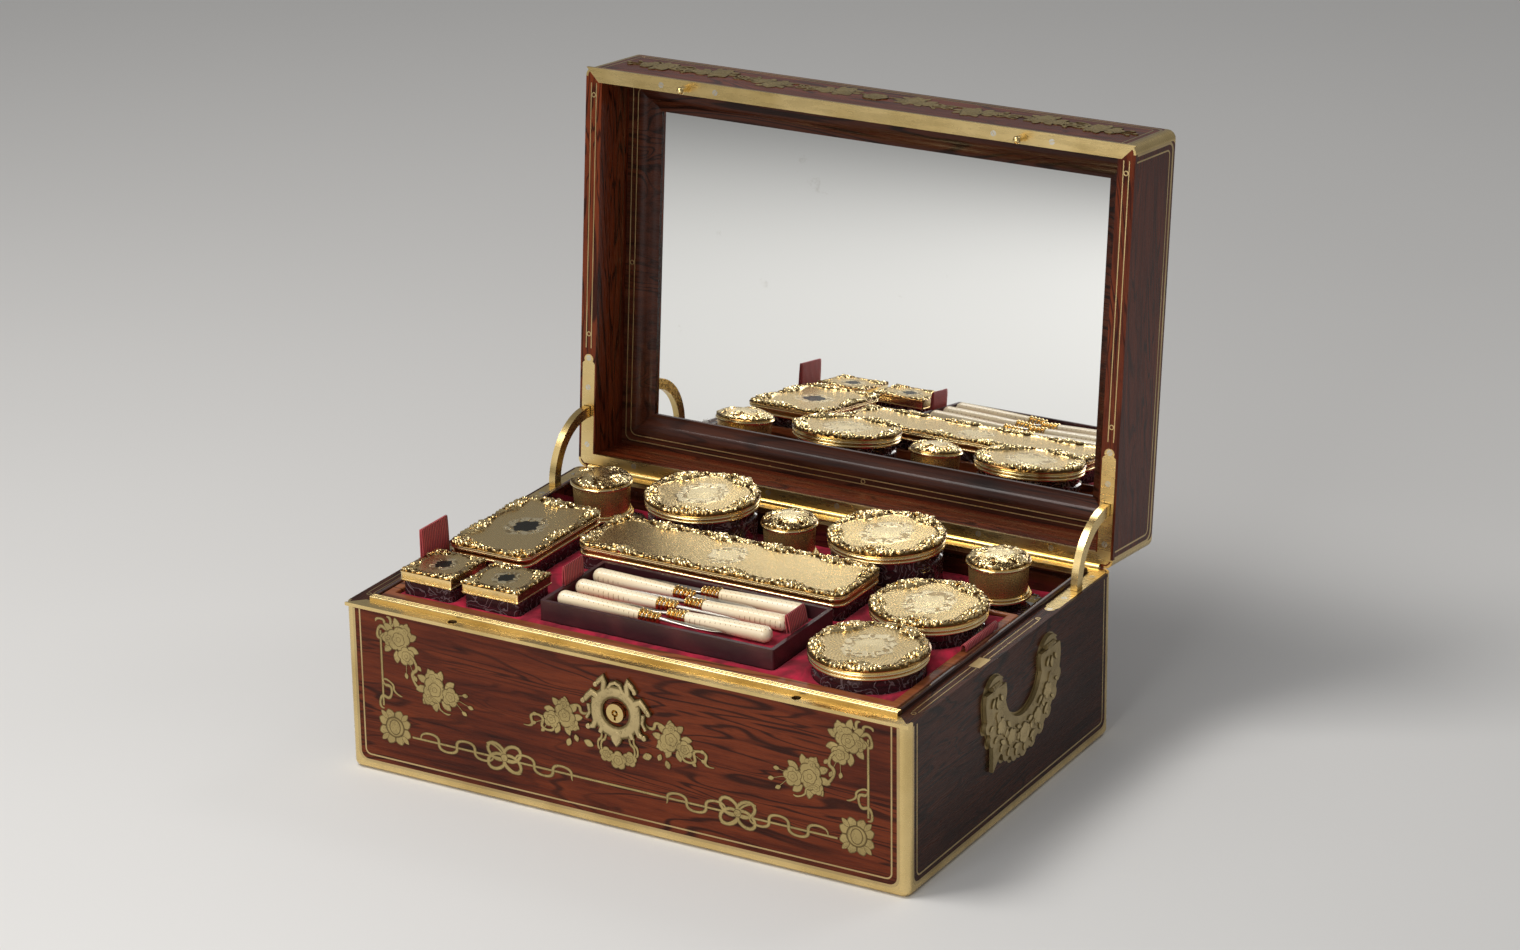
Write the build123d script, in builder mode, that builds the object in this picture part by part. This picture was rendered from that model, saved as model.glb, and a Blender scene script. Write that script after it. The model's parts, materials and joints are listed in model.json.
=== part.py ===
from build123d import *
from math import cos, radians, sin
import os

os.makedirs("parts", exist_ok=True)

# Fitted dressing box, millimetres. X runs left to right, Y from front to back and Z up,
# with the origin in the middle of the underside. The lid stands open on its quadrant stays.

# ------------------------------------------------------------------ driving dimensions
# carcass
box_width = 430.0
box_depth = 295.0
case_height = 121.0
lid_height = 66.8
lid_gap = 0.2
lid_open = 95.0
side_wall = 13.0
front_wall = 11.0
lid_front_wall = 10.2
back_wall = 10.5
bottom_panel = 8.0
top_panel = 8.0
corner_radius = 6.0
edge_radius = 4.5

# brass edging and rim strips
edging_thickness = 1.6
edging_width = 6.5
lid_edging_width = 3.0
strip_thickness = 2.5
lip_width = 6.0
lip_rise = 3.0

# dust lip and tray bearers
liner_front = 5.5
liner_side = 4.0
liner_back = 3.2
bearer_width = 3.5

# stop hinge
leaf_width = 10.5
side_leaf_width = 10.2
side_leaf_length = 80.0
knuckle_radius = 2.5
knuckle_count = 13
knuckle_gap = 0.3
pin_radius = 1.2
pin_clearance = 0.1
relief = 0.3
stay_thickness = 5.0
stay_inner = 38.0
stay_outer = 46.0
stay_lug = 4.0
stay_lug_angle = 8.0
stay_overlap = 12.0
stay_clearance = 0.35

# lock
lock_height = 85.7
barrel_radius = 6.5
crank_disc_radius = 10.9
crank_radius = 9.0
crank_pin_radius = 1.5
crank_swing = 30.0
arbor_radius = 2.5
bolt_half_length = 150.0
bolt_height = 4.4
bolt_thickness = 3.0
stud_x = 131.5
stud_radius = 2.8
stud_length = 12.2
stud_setback = 5.4

# carrying handles
handle_radius = 41.0
handle_band = 27.0
handle_centre_y = 8.5
handle_drop = 24.0
handle_oval = 14.7
handle_thickness = 2.8
handle_pivot_rise = 7.0
handle_plate = 1.0
handle_scallops = 11
handle_scallop_radius = 5.0
handle_tip_reach = 44.0
handle_tip_drop = 53.0

# mirror
frame_depth = 38.0
frame_width = 24.5
frame_thickness = 10.2
glass_thickness = 3.0
glass_rebate = 5.2

# lift-out tray
tray_side_gap = 0.4
tray_front_gap = 0.4
tray_share = 0.585085
tray_height = 59.6
tray_rise = 2.6
tray_side_rail = 7.1
tray_front_rail = 8.6
tray_back_rail = 3.5
tray_floor = 4.0
deck_drop = 0.6
well_gap = 0.4
rear_nest_drop = 17.0

# ribbon pulls of the tray
standing_pull_y = 44.6
standing_pull_width = 34.0
standing_pull_height = 32.0
lying_pull_y = 95.6
lying_pull_length = 50.0
lying_pull_height = 6.0

# vessels
wall_glass = 3.6
jar_rise = 7.5
jar_front_gap = 2.0
jar_back_gap = 1.7
jar_lid_overhang = 3.6
jar_lid_gap = 1.6
rear_jar_room = 14.1
rear_jar_lid_overhang = 3.0
rear_jar_rise = 32.0
rear_jar_height = 74.0
bottle_width = 52.0
small_bottle_width = 44.0
bottle_bottom = 30.0
bottle_rise = 4.0
bottle_neck = 5.0
cap_radius = 22.8
small_cap_radius = 20.5

# tool tray
tool_tray_x = 108.5
tool_tray_y = 11.0
tool_tray_depth = 80.0
tool_tray_height = 14.0
tool_tray_wall = 3.0
tool_jar_gap = 14.4
tool_end_room = 52.0
tool_handle_share = 0.5118
tool_handle_radius = 5.6

# ------------------------------------------------------------------ derived positions
half_width = box_width / 2
half_depth = box_depth / 2
inner_x = half_width - side_wall
front_inner = -half_depth + front_wall
back_inner = half_depth - back_wall
lid_front_inner = -half_depth + lid_front_wall
lid_floor = case_height + lid_gap
lid_top_z = lid_floor + lid_height
liner_x = inner_x - liner_side
liner_front_y = front_inner + liner_front
liner_back_y = back_inner - liner_back
strip_bottom = case_height - strip_thickness
hinge_y = half_depth
hinge_z = case_height
hinge_axis = Axis((0, hinge_y, hinge_z), (-1, 0, 0))
leaf_edge = hinge_y - knuckle_radius - relief
leaf_corner = corner_radius / 2
stay_x = half_width - side_wall / 2
stay_start = -stay_overlap
stay_span = lid_open + 2 * stay_overlap
mortise_span = stay_span / 2 + 2.5
leaf_inner_x = half_width - edging_thickness - 0.2 - side_leaf_width
leaf_outer_x = leaf_inner_x + side_leaf_width

handle_centre_z = case_height - handle_drop
handle_pivot_z = handle_centre_z + handle_pivot_rise

tray_depth = box_depth * tray_share
tray_top = case_height + tray_rise
bearer_top = tray_top - tray_height
deck_top = tray_top - deck_drop
tray_x = liner_x - tray_side_gap
tray_front = liner_front_y + tray_front_gap
tray_back = tray_front + tray_depth
tray_bottom = bearer_top
tray_inner_x = tray_x - tray_side_rail
tray_inner_front = tray_front + tray_front_rail
tray_inner_back = tray_back - tray_back_rail
vessel_floor = tray_bottom + tray_floor
rear_front = tray_back + 0.4
rear_back = liner_back_y - 0.3
rear_nest_top = case_height - rear_nest_drop

jar_room = tray_inner_back - tray_inner_front - jar_front_gap - jar_back_gap
jar_radius = (jar_room - 2 * jar_lid_overhang - jar_lid_gap) / 4
jar_lid_radius = jar_radius + jar_lid_overhang
jar_top = deck_top + jar_rise
rear_jar_radius = (rear_back - rear_front - rear_jar_room) / 2
rear_jar_lid_radius = rear_jar_radius + rear_jar_lid_overhang
rear_jar_top = rear_nest_top + rear_jar_rise
rear_jar_bottom = rear_jar_top - rear_jar_height
bottle_shoulder = rear_nest_top + bottle_rise
bottle_top = bottle_shoulder + bottle_neck


def rounded_block(width, depth, z_low, z_high, corner, edge, round_top):
    """Block with rounded upright corners and one rounded end."""
    with BuildPart() as block:
        with Locations((0, 0, z_low)):
            Box(width, depth, z_high - z_low, align=(Align.CENTER, Align.CENTER, Align.MIN))
        fillet(block.edges().filter_by(Axis.Z), corner)
        end_face = block.faces().sort_by(Axis.Z)[-1 if round_top else 0]
        fillet(end_face.edges(), edge)
    return block.part


def block_between(x_low, x_high, y_low, y_high, z_low, z_high):
    """Plain block given by its six faces."""
    with BuildPart() as block:
        with Locations(((x_low + x_high) / 2, (y_low + y_high) / 2, (z_low + z_high) / 2)):
            Box(x_high - x_low, y_high - y_low, z_high - z_low)
    return block.part


def hinge_sector(x_mid, x_width, r_in, r_out, start, span):
    """Ring sector about the hinge axis; angle 0 points to the front and rises with the lid."""
    with BuildPart() as sector:
        with BuildSketch(Plane.XY.offset(hinge_z)):
            with Locations((x_mid, hinge_y - (r_in + r_out) / 2)):
                Rectangle(x_width, r_out - r_in)
        revolve(axis=hinge_axis, revolution_arc=span)
    return sector.part.rotate(hinge_axis, start)


# ------------------------------------------------------------------ brass edging of the case
case_block = rounded_block(box_width, box_depth, 0, case_height, corner_radius, edge_radius, False)
case_core = rounded_block(
    box_width - 2 * edging_thickness,
    box_depth - 2 * edging_thickness,
    edging_thickness,
    case_height + 1,
    corner_radius - edging_thickness,
    edge_radius - edging_thickness,
    False,
)

with BuildPart() as case_edging:
    add(case_block)
    add(case_core, mode=Mode.SUBTRACT)
    with BuildSketch(Plane.XZ):
        with Locations((0, edging_width + case_height)):
            RectangleRounded(box_width - 2 * edging_width, 2 * case_height, corner_radius)
    extrude(amount=box_depth, both=True, mode=Mode.SUBTRACT)
    with BuildSketch(Plane.YZ):
        with Locations((0, edging_width + case_height)):
            RectangleRounded(box_depth - 2 * edging_width, 2 * case_height, corner_radius)
    extrude(amount=box_width, both=True, mode=Mode.SUBTRACT)
    with BuildSketch(Plane.XY):
        RectangleRounded(box_width - 2 * edging_width, box_depth - 2 * edging_width, corner_radius)
    extrude(amount=edging_thickness, mode=Mode.SUBTRACT)

# ------------------------------------------------------------------ brass strip on the front rim
stud_y = -half_depth + stud_setback
stud_hole_radius = stud_radius + 0.4
strip_inner = -half_depth + back_wall

with BuildPart() as case_rim_strip:
    with BuildSketch(Plane.XY.offset(strip_bottom)):
        with BuildLine():
            Polyline(
                (-half_width, -half_depth),
                (half_width, -half_depth),
                (half_width - back_wall, strip_inner),
                (-half_width + back_wall, strip_inner),
                close=True,
            )
        make_face()
    extrude(amount=strip_thickness)
    add(case_edging.part, mode=Mode.SUBTRACT)
    # fluted lip that the lid closes round
    with BuildSketch(Plane.YZ.offset(-inner_x + 0.3)) as lip_section:
        with Locations((strip_inner, strip_bottom)):
            Rectangle(lip_width, strip_thickness + lip_rise, align=(Align.MIN, Align.MIN))
        top_corners = lip_section.vertices().group_by(Axis.Y)[-1]
        fillet(top_corners, 1.2)
        for flute_y in (strip_inner + lip_width * 0.33, strip_inner + lip_width * 0.67):
            with Locations((flute_y, case_height + lip_rise + 0.25)):
                Circle(0.6, mode=Mode.SUBTRACT)
    extrude(amount=2 * (inner_x - 0.3))
    with Locations((stud_x, stud_y, strip_bottom), (-stud_x, stud_y, strip_bottom)):
        Cylinder(stud_hole_radius, 3 * strip_thickness, mode=Mode.SUBTRACT)

# ------------------------------------------------------------------ stop hinge, case half
knuckle_half = half_width - edging_width - 2.5
knuckle_length = 2 * knuckle_half / knuckle_count
knuckle_centres = [(index + 0.5) * knuckle_length - knuckle_half for index in range(knuckle_count)]
side_leaf_end = hinge_y - side_leaf_length
trefoil_x = (leaf_inner_x + leaf_outer_x) / 2
slot_length = stay_outer - stay_inner + 2 * stay_clearance
slot_width = stay_thickness + 2 * stay_clearance


def leaf_outline():
    """Back leaf with a mitred side leaf on the right that ends in a trefoil and takes the stay."""
    with BuildSketch() as outline:
        with BuildLine():
            Polyline(
                (0, leaf_edge),
                (leaf_outer_x - leaf_corner, leaf_edge),
                (leaf_outer_x, leaf_edge - leaf_corner),
                (leaf_outer_x, side_leaf_end + 3.5),
                (leaf_inner_x, side_leaf_end + 3.5),
                (leaf_inner_x, hinge_y - leaf_width),
                (0, hinge_y - leaf_width),
                close=True,
            )
        make_face()
        with Locations((leaf_inner_x + 2.6, side_leaf_end + 3), (leaf_outer_x - 2.6, side_leaf_end + 3)):
            Circle(2.6)
        with Locations((trefoil_x, side_leaf_end - 1.2)):
            Circle(3.7)
        with Locations((stay_x, hinge_y - (stay_inner + stay_outer) / 2)):
            Rectangle(slot_width, slot_length, mode=Mode.SUBTRACT)
        mirror(about=Plane.YZ)
    return outline.sketch


def hinge_half(z_low, neck_low, centres):
    """One half of the stop hinge, with its rolled knuckles round the pin."""
    with BuildPart() as half:
        with BuildSketch(Plane.XY.offset(z_low)):
            add(leaf_outline())
        extrude(amount=strip_thickness)
        for centre in centres:
            with BuildSketch(Plane.YZ.offset(centre - knuckle_length / 2 + knuckle_gap / 2)):
                with Locations((hinge_y, hinge_z)):
                    Circle(knuckle_radius)
                with Locations((hinge_y, neck_low)):
                    Rectangle(
                        hinge_y - leaf_edge + 1,
                        strip_thickness - lid_gap,
                        align=(Align.MAX, Align.MIN),
                    )
            extrude(amount=knuckle_length - knuckle_gap)
        with BuildSketch(Plane.YZ):
            with Locations((hinge_y, hinge_z)):
                Circle(pin_radius + pin_clearance)
        extrude(amount=half_width, both=True, mode=Mode.SUBTRACT)
    return half.part


with BuildPart() as hinge_case_leaves:
    add(hinge_half(strip_bottom, strip_bottom, knuckle_centres[::2]))

with BuildPart() as hinge_pin:
    with BuildSketch(Plane.YZ):
        with Locations((hinge_y, hinge_z)):
            Circle(pin_radius)
    extrude(amount=knuckle_half - knuckle_gap, both=True)

# quadrant stays: each arm runs in curved mortises in the case and in the lid
with BuildPart() as stay_arm_right:
    add(hinge_sector(stay_x, stay_thickness, stay_inner, stay_outer, stay_start, stay_span))
    lug_end = stay_outer + stay_lug
    upper_start = stay_start + stay_span - stay_lug_angle
    add(hinge_sector(stay_x, stay_thickness, stay_outer - 1, lug_end, stay_start, stay_lug_angle))
    add(hinge_sector(stay_x, stay_thickness, stay_outer - 1, lug_end, upper_start, stay_lug_angle))

with BuildPart() as stay_arm_left:
    mirror(stay_arm_right.part, about=Plane.YZ)


def side_cutters(start):
    """Curved mortise for the right-hand stay and the groove that clears the knuckles."""
    mortise_in = stay_inner - stay_clearance
    mortise_out = stay_outer + stay_lug + 1
    with BuildPart() as cutters:
        add(hinge_sector(stay_x, slot_width, mortise_in, mortise_out, start, mortise_span))
        with BuildSketch(Plane.YZ):
            with Locations((hinge_y, hinge_z)):
                Circle(knuckle_radius + relief)
        extrude(amount=knuckle_half + relief, both=True)
    return cutters.part


def handle_bow(start, sweep_angle):
    """Centre line of the bow, as an arc from a start angle."""
    with BuildLine() as bow:
        CenterArc((handle_centre_y, handle_centre_z), handle_radius, start, sweep_angle)
    return bow.line.edge()


def handle_outline(band, oval):
    """Bow of the carrying handle in its YZ plane: an arc band, two ovals, scallops and a leaf tip."""
    with BuildSketch() as outline:
        SlotArc(handle_bow(184, 172), band)
        for side in (-1, 1):
            with Locations((handle_centre_y + side * (handle_radius - 1.5), handle_centre_z - 1)):
                Circle(oval)
        with Locations((handle_centre_y, handle_centre_z)):
            scallop_ring = handle_radius + band / 2 - 1.5
            with PolarLocations(scallop_ring, handle_scallops, 200, 140, endpoint=True):
                Circle(handle_scallop_radius)
        # leaf tip that hangs below the front end of the bow
        tip_y = handle_centre_y - handle_tip_reach
        with BuildLine():
            Polyline(
                (tip_y, handle_centre_z - handle_tip_drop),
                (tip_y, handle_centre_z - handle_tip_drop + 28),
                (tip_y + 16, handle_centre_z - handle_tip_drop + 15),
                close=True,
            )
        make_face()
    return outline.sketch


# ------------------------------------------------------------------ case walls
leaf_recess = extrude(Plane.XY.offset(strip_bottom) * leaf_outline(), amount=strip_thickness)

with BuildPart() as case_sides:
    with BuildSketch():
        with BuildLine():
            Polyline(
                (half_width, -half_depth),
                (half_width, half_depth),
                (inner_x, back_inner),
                (inner_x, front_inner),
                close=True,
            )
        make_face()
    extrude(amount=case_height)
    add(case_block, mode=Mode.INTERSECT)
    add(case_edging.part, mode=Mode.SUBTRACT)
    add(case_rim_strip.part, mode=Mode.SUBTRACT)
    add(leaf_recess, mode=Mode.SUBTRACT)
    add(side_cutters(-mortise_span), mode=Mode.SUBTRACT)
    # shallow seat for the inlaid handle plate
    with BuildSketch(Plane.YZ.offset(half_width - handle_plate)):
        add(handle_outline(handle_band + 4, handle_oval + 1))
    extrude(amount=handle_plate, mode=Mode.SUBTRACT)
    mirror(about=Plane.YZ)

with BuildPart() as case_back:
    with BuildSketch():
        with BuildLine():
            Polyline(
                (-half_width, half_depth),
                (half_width, half_depth),
                (inner_x, back_inner),
                (-inner_x, back_inner),
                close=True,
            )
        make_face()
    extrude(amount=case_height)
    add(case_block, mode=Mode.INTERSECT)
    add(case_edging.part, mode=Mode.SUBTRACT)
    add(leaf_recess, mode=Mode.SUBTRACT)
    add(hinge_case_leaves.part, mode=Mode.SUBTRACT)
    add(side_cutters(-mortise_span), mode=Mode.SUBTRACT)

# The front wall carries the lock: a channel for the bolt, a pocket for the crank and a bore
# for the barrel, all covered from behind by the lock plate and the dust liner.
bolt_z = strip_bottom - 0.5 - bolt_height
bolt_back = front_inner - 1.4
bolt_front = bolt_back - bolt_thickness
bolt_travel = 2 * crank_radius * sin(radians(crank_swing))
channel_half = bolt_half_length + bolt_travel + 1
disc_front = -half_depth + 3.5
disc_thickness = 2.2
plate_half = 22.0
plate_low = lock_height - 16
plate_thickness = 1.5

with BuildPart() as case_front:
    with BuildSketch():
        with BuildLine():
            Polyline(
                (-half_width, -half_depth),
                (half_width, -half_depth),
                (inner_x, front_inner),
                (-inner_x, front_inner),
                close=True,
            )
        make_face()
    extrude(amount=strip_bottom)
    add(case_block, mode=Mode.INTERSECT)
    add(case_edging.part, mode=Mode.SUBTRACT)
    add(
        block_between(
            -channel_half, channel_half, bolt_front - 0.3, front_inner, bolt_z - 0.4, strip_bottom
        ),
        mode=Mode.SUBTRACT,
    )
    tongue_pocket = crank_radius + 1
    add(
        block_between(-tongue_pocket, tongue_pocket, bolt_front - 0.3, front_inner, lock_height, bolt_z),
        mode=Mode.SUBTRACT,
    )
    with BuildSketch(Plane.XZ.offset(-front_inner)):
        with Locations((0, lock_height)):
            Circle(crank_disc_radius + 0.6)
    extrude(amount=front_inner - disc_front + 0.3, mode=Mode.SUBTRACT)
    with BuildSketch(Plane.XZ.offset(-front_inner)):
        with Locations((0, lock_height)):
            Circle(barrel_radius + 0.4)
    extrude(amount=front_wall, mode=Mode.SUBTRACT)
    stud_hole_depth = stud_length + 1 - strip_thickness
    for side in (-stud_x, stud_x):
        with Locations((side, stud_y, strip_bottom - stud_hole_depth / 2)):
            Cylinder(stud_hole_radius, stud_hole_depth, mode=Mode.SUBTRACT)

with BuildPart() as case_bottom:
    add(block_between(-inner_x, inner_x, front_inner, back_inner, 0, bottom_panel))

# dust liners: a lip that stands above the rim at the sides, and bearers that carry the tray
with BuildPart() as dust_liners:
    liner_depth = back_inner - front_inner
    with BuildSketch(Plane.XZ.offset(-back_inner)) as side_section:
        with BuildLine():
            Polyline(
                (inner_x, bottom_panel),
                (inner_x, case_height),
                (inner_x - 0.3, case_height),
                (inner_x - 0.3, case_height + lip_rise),
                (liner_x, case_height + lip_rise),
                (liner_x, bottom_panel),
                close=True,
            )
        make_face()
        fillet(side_section.vertices().group_by(Axis.Y)[-1], 1.2)
    extrude(amount=liner_depth)
    add(
        block_between(liner_x - bearer_width, liner_x, front_inner, tray_back, bottom_panel, bearer_top),
    )
    mirror(about=Plane.YZ)
    add(block_between(-liner_x, liner_x, front_inner, liner_front_y, bottom_panel, strip_bottom))
    add(block_between(-liner_x, liner_x, liner_back_y, back_inner, bottom_panel, strip_bottom))
    plate_cut = plate_half + 0.2
    add(
        block_between(
            -plate_cut, plate_cut, front_inner, liner_front_y, plate_low - 0.2, strip_bottom - 2
        ),
        mode=Mode.SUBTRACT,
    )
    # the brass strip lies over the front of the liners
    add(
        block_between(-inner_x, inner_x, front_inner, liner_front_y, strip_bottom, case_height + 10),
        mode=Mode.SUBTRACT,
    )

# ------------------------------------------------------------------ lock
with BuildPart() as lock_plate:
    add(
        block_between(
            -plate_half,
            plate_half,
            front_inner,
            front_inner + plate_thickness,
            plate_low,
            strip_bottom - 2.2,
        )
    )
    fillet(lock_plate.edges().filter_by(Axis.Y), 2)
    with BuildSketch(Plane.XZ.offset(-front_inner)):
        with Locations((0, lock_height)):
            Circle(arbor_radius + 0.1)
    extrude(amount=-plate_thickness, mode=Mode.SUBTRACT)

with BuildPart() as lock_cylinder:
    face_y = -half_depth - 3.4
    disc_back = disc_front + disc_thickness
    arbor_end = front_inner + plate_thickness - 0.3
    for radius, start_y, end_y in (
        (barrel_radius, face_y, disc_front),
        (crank_disc_radius, disc_front, disc_back),
        (arbor_radius, disc_back, arbor_end),
    ):
        with BuildSketch(Plane.XZ.offset(-start_y)):
            with Locations((0, lock_height)):
                Circle(radius)
        extrude(amount=start_y - end_y)
    # crank pin that drives the bolt
    pin_x = crank_radius * sin(radians(crank_swing))
    pin_z = lock_height + crank_radius * cos(radians(crank_swing))
    with BuildSketch(Plane.XZ.offset(-disc_back)):
        with Locations((pin_x, pin_z)):
            Circle(crank_pin_radius)
    extrude(amount=-(bolt_back - 0.3 - disc_back))
    # keyhole: round bore, bit slot below it and a fixed centre pin
    with BuildSketch(Plane.XZ.offset(-face_y)):
        with Locations((0, lock_height)):
            Circle(2.5)
        with Locations((0, lock_height - 3.4)):
            Rectangle(1.6, 3.4)
        with Locations((0, lock_height)):
            Circle(0.9, mode=Mode.SUBTRACT)
    extrude(amount=-5, mode=Mode.SUBTRACT)

with BuildPart() as lock_bolt:
    bolt_top = bolt_z + bolt_height
    add(block_between(-bolt_half_length, bolt_half_length, bolt_front, bolt_back, bolt_z, bolt_top))
    # windows that let the lid studs pass when the bolt is drawn
    stud_back = stud_y + stud_radius
    for side in (-stud_x, stud_x):
        add(
            block_between(side - 3.8, side + 3.8, bolt_front, stud_back + 0.4, bolt_z, bolt_top),
            mode=Mode.SUBTRACT,
        )
    # tongue with an upright slot for the crank pin
    tongue_low = lock_height + arbor_radius + 1.1
    add(block_between(0, 2 * pin_x, bolt_front, bolt_back, tongue_low, bolt_z + 1))
    slot_half = crank_pin_radius + 0.3
    add(
        block_between(
            pin_x - slot_half,
            pin_x + slot_half,
            bolt_front,
            bolt_back,
            pin_z - crank_pin_radius - 0.4,
            lock_height + crank_radius + crank_pin_radius + 0.4,
        ),
        mode=Mode.SUBTRACT,
    )

with BuildPart() as escutcheon:
    # scrolled plate: horns at the top, C-scrolls at the sides and a pendant drop below
    with BuildSketch(Plane.XZ.offset(half_depth)):
        with Locations((0, lock_height)):
            Circle(15.5)
        with Locations((0, lock_height + 16)):
            Rectangle(15, 6)
        # horn
        with BuildLine():
            ThreePointArc((4, lock_height + 12), (8, lock_height + 17), (14.5, lock_height + 20))
            ThreePointArc((14.5, lock_height + 20), (15, lock_height + 14), (11, lock_height + 9))
            Line((11, lock_height + 9), (4, lock_height + 12))
        make_face()
        # arm above the C-scroll
        with BuildLine():
            ThreePointArc((11, lock_height + 8), (18, lock_height + 10), (26, lock_height + 8))
            ThreePointArc((26, lock_height + 8), (22.5, lock_height + 2), (16, lock_height - 3))
            Line((16, lock_height - 3), (11, lock_height + 8))
        make_face()
        # C-scroll
        with BuildLine():
            ThreePointArc((15, lock_height - 3), (20, lock_height - 9), (17.5, lock_height - 14))
            ThreePointArc((17.5, lock_height - 14), (12, lock_height - 15), (8, lock_height - 12))
            Line((8, lock_height - 12), (15, lock_height - 3))
        make_face()
        # pendant drop
        with BuildLine():
            ThreePointArc((0, lock_height - 24.5), (2, lock_height - 20.5), (6, lock_height - 17))
            Line((6, lock_height - 17), (6, lock_height - 12))
            Line((6, lock_height - 12), (0, lock_height - 12))
            Line((0, lock_height - 12), (0, lock_height - 24.5))
        make_face()
        mirror(about=Plane.YZ)
        with Locations((0, lock_height + 16.5)):
            Rectangle(8, 1.6, mode=Mode.SUBTRACT)
        with Locations((0, lock_height)):
            Circle(barrel_radius + 0.3, mode=Mode.SUBTRACT)
    extrude(amount=1)
    for radius, rise in ((11.2, 2.0), (9.6, 3.0)):
        with BuildSketch(Plane.XZ.offset(half_depth)):
            with Locations((0, lock_height)):
                Circle(radius)
                Circle(barrel_radius + 0.3, mode=Mode.SUBTRACT)
        extrude(amount=rise)

# ------------------------------------------------------------------ carrying handles
pivot_x = half_width + 2.2
bail_cut_z = handle_pivot_z - 2.2
oval_y = [handle_centre_y - handle_radius + 1.5, handle_centre_y + handle_radius - 1.5]

with BuildPart() as handle_bail_right:
    with BuildSketch(Plane.YZ.offset(half_width + 0.3)):
        add(handle_outline(handle_band, handle_oval))
    extrude(amount=handle_thickness)
    cut_top = handle_centre_z + 40
    add(
        block_between(half_width, half_width + 5, -half_depth, half_depth, bail_cut_z, cut_top),
        mode=Mode.SUBTRACT,
    )
    # raised rib along the middle of the bow
    with BuildSketch(Plane.YZ.offset(half_width + 0.3 + handle_thickness)):
        SlotArc(handle_bow(200, 140), 4.4)
    extrude(amount=0.7)
    for centre in oval_y:
        with BuildSketch(Plane.XZ.offset(-centre)):
            with Locations((pivot_x, handle_pivot_z)):
                Circle(1.9)
            with Locations((half_width + 0.3, bail_cut_z - 1)):
                Rectangle(handle_thickness, 2.2, align=(Align.MIN, Align.MIN))
            with Locations((pivot_x, handle_pivot_z)):
                Circle(0.9, mode=Mode.SUBTRACT)
        extrude(amount=3, both=True)

with BuildPart() as handle_bail_left:
    mirror(handle_bail_right.part, about=Plane.YZ)

with BuildPart() as handle_plates:
    with BuildSketch(Plane.YZ.offset(half_width - handle_plate)):
        add(handle_outline(handle_band + 4, handle_oval + 1))
    extrude(amount=handle_plate)
    for centre in oval_y:
        # crown of each oval above the pivot, then the two lugs and the pin between them
        with BuildSketch(Plane.YZ.offset(half_width)):
            with Locations((centre, handle_centre_z - 1)):
                Circle(handle_oval)
            with Locations((centre, handle_pivot_z + 2.4 - 50)):
                Rectangle(60, 100, mode=Mode.SUBTRACT)
        extrude(amount=2.6)
        for lug_y in (centre - 4.7, centre + 4.7):
            with BuildSketch(Plane.XZ.offset(-lug_y)):
                with Locations((pivot_x, handle_pivot_z)):
                    Circle(1.8)
                with Locations((half_width, handle_pivot_z)):
                    Rectangle(pivot_x - half_width, 3.6, align=(Align.MIN, Align.CENTER))
            extrude(amount=1.3, both=True)
        with BuildSketch(Plane.XZ.offset(-centre)):
            with Locations((pivot_x, handle_pivot_z)):
                Circle(0.8)
        extrude(amount=5, both=True)
    mirror(about=Plane.YZ)

# ------------------------------------------------------------------ lid, drawn shut
lid_block = rounded_block(
    box_width, box_depth, lid_floor, lid_top_z, corner_radius, edge_radius, True
)
lid_core = rounded_block(
    box_width - 2 * edging_thickness,
    box_depth - 2 * edging_thickness,
    lid_floor - 1,
    lid_top_z - edging_thickness,
    corner_radius - edging_thickness,
    edge_radius - edging_thickness,
    True,
)
lid_inside_top = lid_top_z - top_panel
window_top = lid_top_z - lid_edging_width

with BuildPart() as lid_edging:
    add(lid_block)
    add(lid_core, mode=Mode.SUBTRACT)
    with BuildSketch(Plane.XZ):
        with Locations((0, window_top - lid_height)):
            RectangleRounded(box_width - 2 * edging_width, 2 * lid_height, corner_radius)
    extrude(amount=box_depth, both=True, mode=Mode.SUBTRACT)
    with BuildSketch(Plane.YZ):
        with Locations((0, window_top - lid_height)):
            RectangleRounded(box_depth - 2 * edging_width, 2 * lid_height, corner_radius)
    extrude(amount=box_width, both=True, mode=Mode.SUBTRACT)
    with BuildSketch(Plane.XY.offset(lid_top_z)):
        RectangleRounded(
            box_width - 2 * lid_edging_width, box_depth - 2 * lid_edging_width, corner_radius
        )
    extrude(amount=-edging_thickness, mode=Mode.SUBTRACT)

with BuildPart() as lid_rim_strip:
    with BuildSketch(Plane.XY.offset(lid_floor)):
        with BuildLine():
            Polyline(
                (-half_width, -half_depth),
                (half_width, -half_depth),
                (half_width - lid_front_wall, lid_front_inner),
                (-half_width + lid_front_wall, lid_front_inner),
                close=True,
            )
        make_face()
    extrude(amount=strip_thickness)
    add(lid_edging.part, mode=Mode.SUBTRACT)
    # round-nosed locking studs, notched for the bolt
    for side in (-stud_x, stud_x):
        stud_tip = lid_floor - stud_length
        with BuildSketch(Plane(origin=(side, stud_y, 0), x_dir=(1, 0, 0), z_dir=(0, -1, 0))):
            with BuildLine():
                Line((0, stud_tip), (0, lid_floor))
                Line((0, lid_floor), (stud_radius, lid_floor))
                Line((stud_radius, lid_floor), (stud_radius, stud_tip + stud_radius))
                RadiusArc((stud_radius, stud_tip + stud_radius), (0, stud_tip), stud_radius)
            make_face()
        revolve(axis=Axis((side, stud_y, 0), (0, 0, 1)))
        notch_front = bolt_front - 0.3
        add(
            block_between(
                side - 5, side + 5, notch_front, stud_y + 5, bolt_z - 0.4, bolt_top + 0.4
            ),
            mode=Mode.SUBTRACT,
        )

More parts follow.
